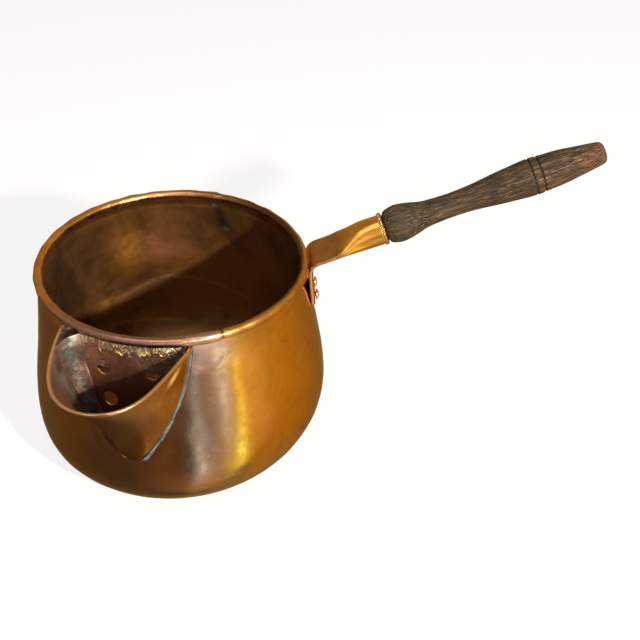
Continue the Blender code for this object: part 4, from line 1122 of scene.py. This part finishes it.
def axis_frame(along=0.0):
    a = math.radians(HANDLE_SLOPE)
    at = np.array([MOUTH[0], 0.0, MOUTH[1]]) + np.array([math.cos(a), 0.0, math.sin(a)]) * along
    return at, np.array([math.cos(a), 0.0, math.sin(a)]), np.array([-math.sin(a), 0.0, math.cos(a)])


def turned(name, prof, around, shape=None, along=0.0, caps=True, wrap_i=False):
    """A profile of (distance along, radius) turned about the handle's axis. shape(theta, along, radius) may change the radius."""
    at, ax, up = axis_frame(along)
    th = 2 * math.pi * np.arange(around) / around
    s = np.repeat(prof[:, 0][:, None], around, 1)
    r = np.repeat(prof[:, 1][:, None], around, 1)
    T = np.repeat(th[None, :], len(prof), 0)
    if shape is not None:
        r = shape(T, s, r)
    y = np.array([0.0, 1.0, 0.0])
    grid = at + s[..., None] * ax + (r * np.cos(T))[..., None] * y + (r * np.sin(T))[..., None] * up
    mesh = mesh_from_grid(name + "_shape", grid, wrap_i=wrap_i, cap_start=caps, cap_end=caps)
    face_out(mesh)
    return mesh, T, s, r


def make_ferrule():
    """A thin band between two fine lines, its middle raised in a row of small beads."""
    lo, hi = -2.7, -0.15
    s = np.linspace(lo, hi, 19)
    base = TUBE_R + 0.55 + 0.35 * np.exp(-(((s - lo - 0.25) / 0.22) ** 2)) + 0.35 * np.exp(-(((s - hi + 0.25) / 0.22) ** 2))
    out = np.stack([s, base], 1)
    back = np.array([(hi, TUBE_R + 0.08), (lo, TUBE_R + 0.08)])
    prof = np.concatenate([out, back])
    beads = 44

    def shape(T, S, R):
        mid = np.exp(-(((S - (lo + hi) / 2) / 0.62) ** 2))
        b = np.clip(np.cos(T * beads + 1.6 * (S - lo)), -0.35, 1.0)
        return np.where(R > TUBE_R + 0.3, R + 0.62 * mid * (0.5 + 0.5 * b), R)

    mesh, T, S, R = turned("ferrule", prof, beads * 12, shape, caps=False, wrap_i=True)
    between = np.exp(-(((S - (lo + hi) / 2) / 0.8) ** 2)) * np.clip(0.25 - np.cos(T * beads + 1.6 * (S - lo)), 0, 1)
    attribute(mesh, "cavity", np.clip(between, 0, 1).ravel())
    return add("ferrule_band", mesh, M["band"])


def make_wood():
    groove = lambda s, at, w, d: -d * np.exp(-(((s - at) / w) ** 2))
    body = smooth_path([(s, r) for s, r in WOOD], 300)
    body[:, 1] += groove(body[:, 0], 100.7, 0.42, 0.85) + groove(body[:, 0], 106.2, 0.48, 1.0)
    body[:, 1] += 0.10 * np.exp(-(((body[:, 0] - 102.0) / 0.8) ** 2))
    tenon = np.array([(-17.0, 7.2), (-16.2, 8.0), (-13.0, 8.4), (-1.0, 8.45), (0.3, 8.45), (0.85, 8.9)])
    prof = np.concatenate([tenon, body])
    tenon_n = len(tenon)
    r = np.random.RandomState(17)
    fib = [(int(r.randint(18, 90)), r.uniform(-0.10, 0.10), r.uniform(0, 6.28), r.uniform(0.3, 1.0)) for _ in range(26)]
    low = [(int(r.randint(2, 6)), r.uniform(-0.05, 0.05), r.uniform(0, 6.28), r.uniform(0.4, 1.0)) for _ in range(5)]

    def shape(T, S, R):
        d = sum(a * np.cos(n * T + k * S + f) for n, k, f, a in fib)
        e = sum(a * np.cos(n * T + k * S + f) for n, k, f, a in low)
        d = -0.045 * np.abs(d) / 2.0
        crack = -0.35 * np.exp(-(((T - 4.9 - 0.012 * (S - 60)) * R / 0.22) ** 2)) * np.exp(-(((S - 128.0) / 15.0) ** 2))
        return R + (d + 0.05 * e + crack - 0.02) * (S > 0.5) * np.clip((148.9 - S) / 3.0, 0.1, 1)

    mesh, T, S, R = turned("wood", prof, 176, shape)
    body_part = S > 0.5
    grooves = np.exp(-(((S - 100.7) / 0.5) ** 2)) + np.exp(-(((S - 106.2) / 0.55) ** 2))
    weathered = np.exp(-(((S - 14.0) / 24.0) ** 2)) * 1.0 + 0.35 * np.exp(-(((S - 70.0) / 40.0) ** 2))
    worn = step(S, 134.0, 5.0) * 1.0 + 0.7 * step(S, 108.0, 3.0) * (np.sin(T) < -0.1) + 0.35 * np.exp(-(((S - 55) / 30.0) ** 2)) * (np.sin(T) < -0.4)
    worn = worn + 0.55 * np.exp(-(((S - 104.0) / 3.2) ** 2)) * (np.sin(T) < 0.2)
    attribute(mesh, "groove", np.clip(grooves * body_part, 0, 1).ravel())
    attribute(mesh, "weathered", np.clip(weathered * body_part, 0, 1).ravel())
    attribute(mesh, "worn", np.clip(worn * body_part, 0, 1).ravel())
    return add("wood_grip", mesh, M["wood"])


def make_rivet(name, side):
    inner, outer, h = 90.4, STRAP_X_LOW + STRAP_HALF_T - 0.02, RIVET_HEAD_H
    k = np.linspace(0, math.pi / 2, 14)
    head = [(RIVET_HEAD_R * math.cos(a) ** 0.8, outer + 0.25 + (h - 0.25) * math.sin(a)) for a in k[:-1]]
    low = [(3.5 * math.cos(a) ** 0.8, inner - 1.2 * math.sin(a)) for a in k[:-1]]
    prof = low[::-1] + [(3.5, inner + 0.1), (1.6, inner + 0.12), (1.6, outer - 0.02), (RIVET_HEAD_R, outer), (RIVET_HEAD_R + 0.05, outer + 0.12)] + head
    around = 48
    th = 2 * math.pi * np.arange(around) / around
    r = np.random.RandomState(3 + side)
    facets = [(int(r.randint(2, 6)), r.uniform(0, 6.28), r.uniform(0.02, 0.05)) for _ in range(5)]
    grid = np.zeros((len(prof), around, 3))
    for i, (rad, x) in enumerate(prof):
        wob = 1 + sum(a * np.cos(n * th + f) for n, f, a in facets) * (rad > 1.7) * 0.6
        grid[i, :, 0] = x
        grid[i, :, 1] = side * RIVET_Y + rad * wob * np.cos(th)
        grid[i, :, 2] = RIVET_Z + rad * wob * np.sin(th)
    mesh = mesh_from_grid(name + "_shape", grid, cap_start=True, cap_end=True)
    face_out(mesh)
    return add(name, mesh, M["rivet"])


# ------------------------------------------------------------ build
M = {
    "out": copper_outside(), "rim": copper_rim(), "in": copper_inside(), "pocket": wall_in_spout(),
    "spout_out": spout_outside(), "spout_in": spout_inside(), "socket": copper_socket(),
    "band": bright_copper("ferrule_copper", (0.95, 0.62, 0.22), (0.78, 0.42, 0.14), 0.2, 0.36, 220.0),
    "rivet": bright_copper("rivet_copper", (0.92, 0.58, 0.26), (0.72, 0.36, 0.14), 0.26, 0.42, 240.0),
    "solder": solder("solder_grey", "grey"), "smear": solder("solder_smear", "smear"),
    "solder_dark": solder("solder_brown", "dark"), "splash": solder("solder_splash", "splash"),
    "iron": iron(), "wood": dark_wood(),
}
BODY = sorted(frame["bodies"])[0]


def place(ob, node):
    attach(ob, BODY)
    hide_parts(node)
    return ob


place(make_pan(), "pan_body")
place(make_spout(), "spout")
place(solder_seam("solder_right", 1, (M["solder"], M["smear"])), "solder_seam_right")
place(solder_seam("solder_left", -1, (M["solder_dark"], M["smear"])), "solder_seam_left")
place(rim_solder(), "solder_seam_rim")
place(make_socket(), "handle_socket")
place(make_ferrule(), "ferrule_ring")
place(make_wood(), "wood_handle")
place(make_rivet("rivet_head_near", -1), "rivet_near")
place(make_rivet("rivet_head_far", 1), "rivet_far")
for node in ("rim_wire", "handle_brad"):
    ob = frame["nodes"][node]
    ob.data.materials.clear()
    ob.data.materials.append(M["iron"])


# ------------------------------------------------------------ stage, light, camera
def floor():
    n = Nodes("pale_floor")
    n.finish((0.30, 0.298, 0.295), 0.8, 0.0)
    n.bsdf.inputs["Specular IOR Level"].default_value = 0.1
    n.bsdf.inputs["Emission Color"].default_value = (0.985, 0.99, 1.0, 1.0)
    n.bsdf.inputs["Emission Strength"].default_value = 0.82
    mesh = bpy.data.meshes.new("floor")
    s = 6.0
    mesh.from_pydata([(-s, -s, -0.0004), (s, -s, -0.0004), (s, s, -0.0004), (-s, s, -0.0004)], [], [(0, 1, 2, 3)])
    ob = add("floor", mesh, n.mat, smooth=False)
    ob.visible_glossy = False
    ob.visible_diffuse = False


def direction(az, el):
    a, e = math.radians(az), math.radians(el)
    return Vector((math.cos(e) * math.cos(a), math.cos(e) * math.sin(a), math.sin(e)))


ROOM = (0.066, 0.045, 0.032)
PANELS = [  # soft panels of light round the object: azimuth, half width, elevation, half height, colour
    (-79.5, 3.6, -37, 14, (0.72, 1.12, 1.40)),
    (-72, 7, -52, 12, (0.36, 0.47, 0.59)),
    (-57.5, 3.2, -17, 8, (0.60, 0.92, 0.95)),
    (-54, 5, -40, 12, (0.68, 0.63, 0.17)),
    (-45, 3.0, -32, 9, (0.90, 1.40, 0.15)),
    (-43, 5, -49, 8, (0.95, 1.10, 0.10)),
    (-40, 14, -24, 12, (0.43, 0.38, 0.36)),
    (-12, 24, -30, 20, (0.28, 0.19, 0.0)),
    (30, 30, -35, 25, (0.08, 0.03, 0.0)),
    (-65, 30, -75, 18, (0.39, 0.28, 0.16)),
    (20, 60, -75, 20, (0.25, 0.19, 0.06)),
    (-62, 20, 6, 14, (0.44, 0.48, 0.50)),
    (-60, 40, 40, 25, (0.34, 0.34, 0.38)),
    (-140, 50, 26, 22, (0.34, 0.33, 0.36)),
    (50, 60, 15, 30, (0.37, 0.25, 0.03)),
    (0, 400, 85, 32, (0.20, 0.20, 0.21)),
    (-67, 5, -30, 12, (0.33, 0.32, 0.30)),
    (-110, 12, -38, 20, (0.08, 0.03, 0.0)),
    (92, 12, -28, 22, (0.34, 0.28, 0.18)),
    (-91, 11, 7, 9, (0.62, 0.53, 0.64)),
]


def world():
    w = bpy.data.worlds.new("studio")
    bpy.context.scene.world = w
    w.use_nodes = True
    t = w.node_tree
    t.nodes.clear()
    out = t.nodes.new("ShaderNodeOutputWorld")

    def calc(op, a, b=None, c=None):
        n = t.nodes.new("ShaderNodeMath")
        n.operation = op
        for i, v in enumerate((a, b, c)):
            if isinstance(v, bpy.types.NodeSocket):
                t.links.new(v, n.inputs[i])
            elif v is not None:
                n.inputs[i].default_value = v
        return n.outputs[0]

    split = t.nodes.new("ShaderNodeSeparateXYZ")
    t.links.new(t.nodes.new("ShaderNodeTexCoord").outputs["Generated"], split.inputs[0])
    azimuth = calc("ARCTAN2", split.outputs[1], split.outputs[0])
    height = calc("ARCSINE", calc("MINIMUM", calc("MAXIMUM", split.outputs[2], -1.0), 1.0))
    total = None
    for az, wide, el, tall, colour in PANELS:
        up = calc("MULTIPLY_ADD", height, 1.0 / math.radians(tall), -el / tall)
        power = calc("MULTIPLY", calc("MULTIPLY", up, up), -0.5)
        if wide < 300:
            tight = 1.0 / math.radians(wide) ** 2
            turn = calc("COSINE", calc("SUBTRACT", azimuth, math.radians(az)))
            power = calc("ADD", power, calc("MULTIPLY_ADD", turn, tight, -tight))
        glow = calc("EXPONENT", power)
        sc = t.nodes.new("ShaderNodeVectorMath"); sc.operation = "SCALE"
        sc.inputs[0].default_value = colour
        t.links.new(glow, sc.inputs["Scale"])
        if total is None:
            total = sc.outputs[0]
        else:
            ad = t.nodes.new("ShaderNodeVectorMath"); ad.operation = "ADD"
            t.links.new(total, ad.inputs[0]); t.links.new(sc.outputs[0], ad.inputs[1])
            total = ad.outputs[0]
    ad = t.nodes.new("ShaderNodeVectorMath"); ad.operation = "ADD"
    t.links.new(total, ad.inputs[0]); ad.inputs[1].default_value = ROOM
    room = t.nodes.new("ShaderNodeBackground")
    t.links.new(ad.outputs[0], room.inputs[0])
    pale = t.nodes.new("ShaderNodeBackground")
    pale.inputs[0].default_value = (1.0, 0.995, 0.985, 1.0)
    pale.inputs[1].default_value = 1.0
    dim = t.nodes.new("ShaderNodeBackground")
    dim.inputs[0].default_value = (0.20, 0.175, 0.15, 1.0)
    dim.inputs[1].default_value = 1.0
    path = t.nodes.new("ShaderNodeLightPath")
    soft = t.nodes.new("ShaderNodeMixShader")
    t.links.new(path.outputs["Is Diffuse Ray"], soft.inputs[0])
    t.links.new(room.outputs[0], soft.inputs[1])
    t.links.new(dim.outputs[0], soft.inputs[2])
    mix = t.nodes.new("ShaderNodeMixShader")
    t.links.new(path.outputs["Is Camera Ray"], mix.inputs[0])
    t.links.new(soft.outputs[0], mix.inputs[1])
    t.links.new(pale.outputs[0], mix.inputs[2])
    t.links.new(mix.outputs[0], out.inputs[0])


def area(name, az, el, dist, size, power, colour, target=(0.0, 0.0, 0.1)):
    light = bpy.data.lights.new(name, "AREA")
    light.shape = "DISK"
    light.size = size
    light.energy = power
    light.color = colour
    ob = bpy.data.objects.new(name, light)
    at = Vector(target) + direction(az, el) * dist
    ob.location = at
    ob.rotation_euler = (-direction(az, el)).to_track_quat("-Z", "Y").to_euler()
    bpy.context.scene.collection.objects.link(ob)
    return ob


def camera():
    pitch, roll, heading = math.radians(37.672), math.radians(1.95), math.radians(-6.4)
    fw = np.array([0, math.cos(pitch), -math.sin(pitch)])
    rt = np.array([1.0, 0, 0]); up = np.cross(rt, fw)
    rt2, up2 = math.cos(roll) * rt + math.sin(roll) * up, -math.sin(roll) * rt + math.cos(roll) * up
    c, s = math.cos(heading), math.sin(heading)
    Rz = np.array([[c, -s, 0], [s, c, 0], [0, 0, 1]])
    rt2, up2, fw = Rz @ rt2, Rz @ up2, Rz @ fw
    at = Rz @ np.array([0.0992, -0.5176, 0.4995])
    cam = bpy.data.cameras.new("camera")
    cam.sensor_width = 36.0
    cam.lens = 53.04
    ob = bpy.data.objects.new("camera", cam)
    ob.matrix_world = Matrix(((rt2[0], up2[0], -fw[0], at[0]), (rt2[1], up2[1], -fw[1], at[1]), (rt2[2], up2[2], -fw[2], at[2]), (0, 0, 0, 1)))
    bpy.context.scene.collection.objects.link(ob)
    bpy.context.scene.camera = ob


floor()
world()
area("key", -55.6, 28.0, 1.9, 0.08, 42.0, (1.0, 0.84, 0.60))
area("top", -120.0, 70.0, 1.3, 0.9, 3.0, (1.0, 0.96, 0.92))
camera()
bpy.context.scene.view_settings.view_transform = "Standard"
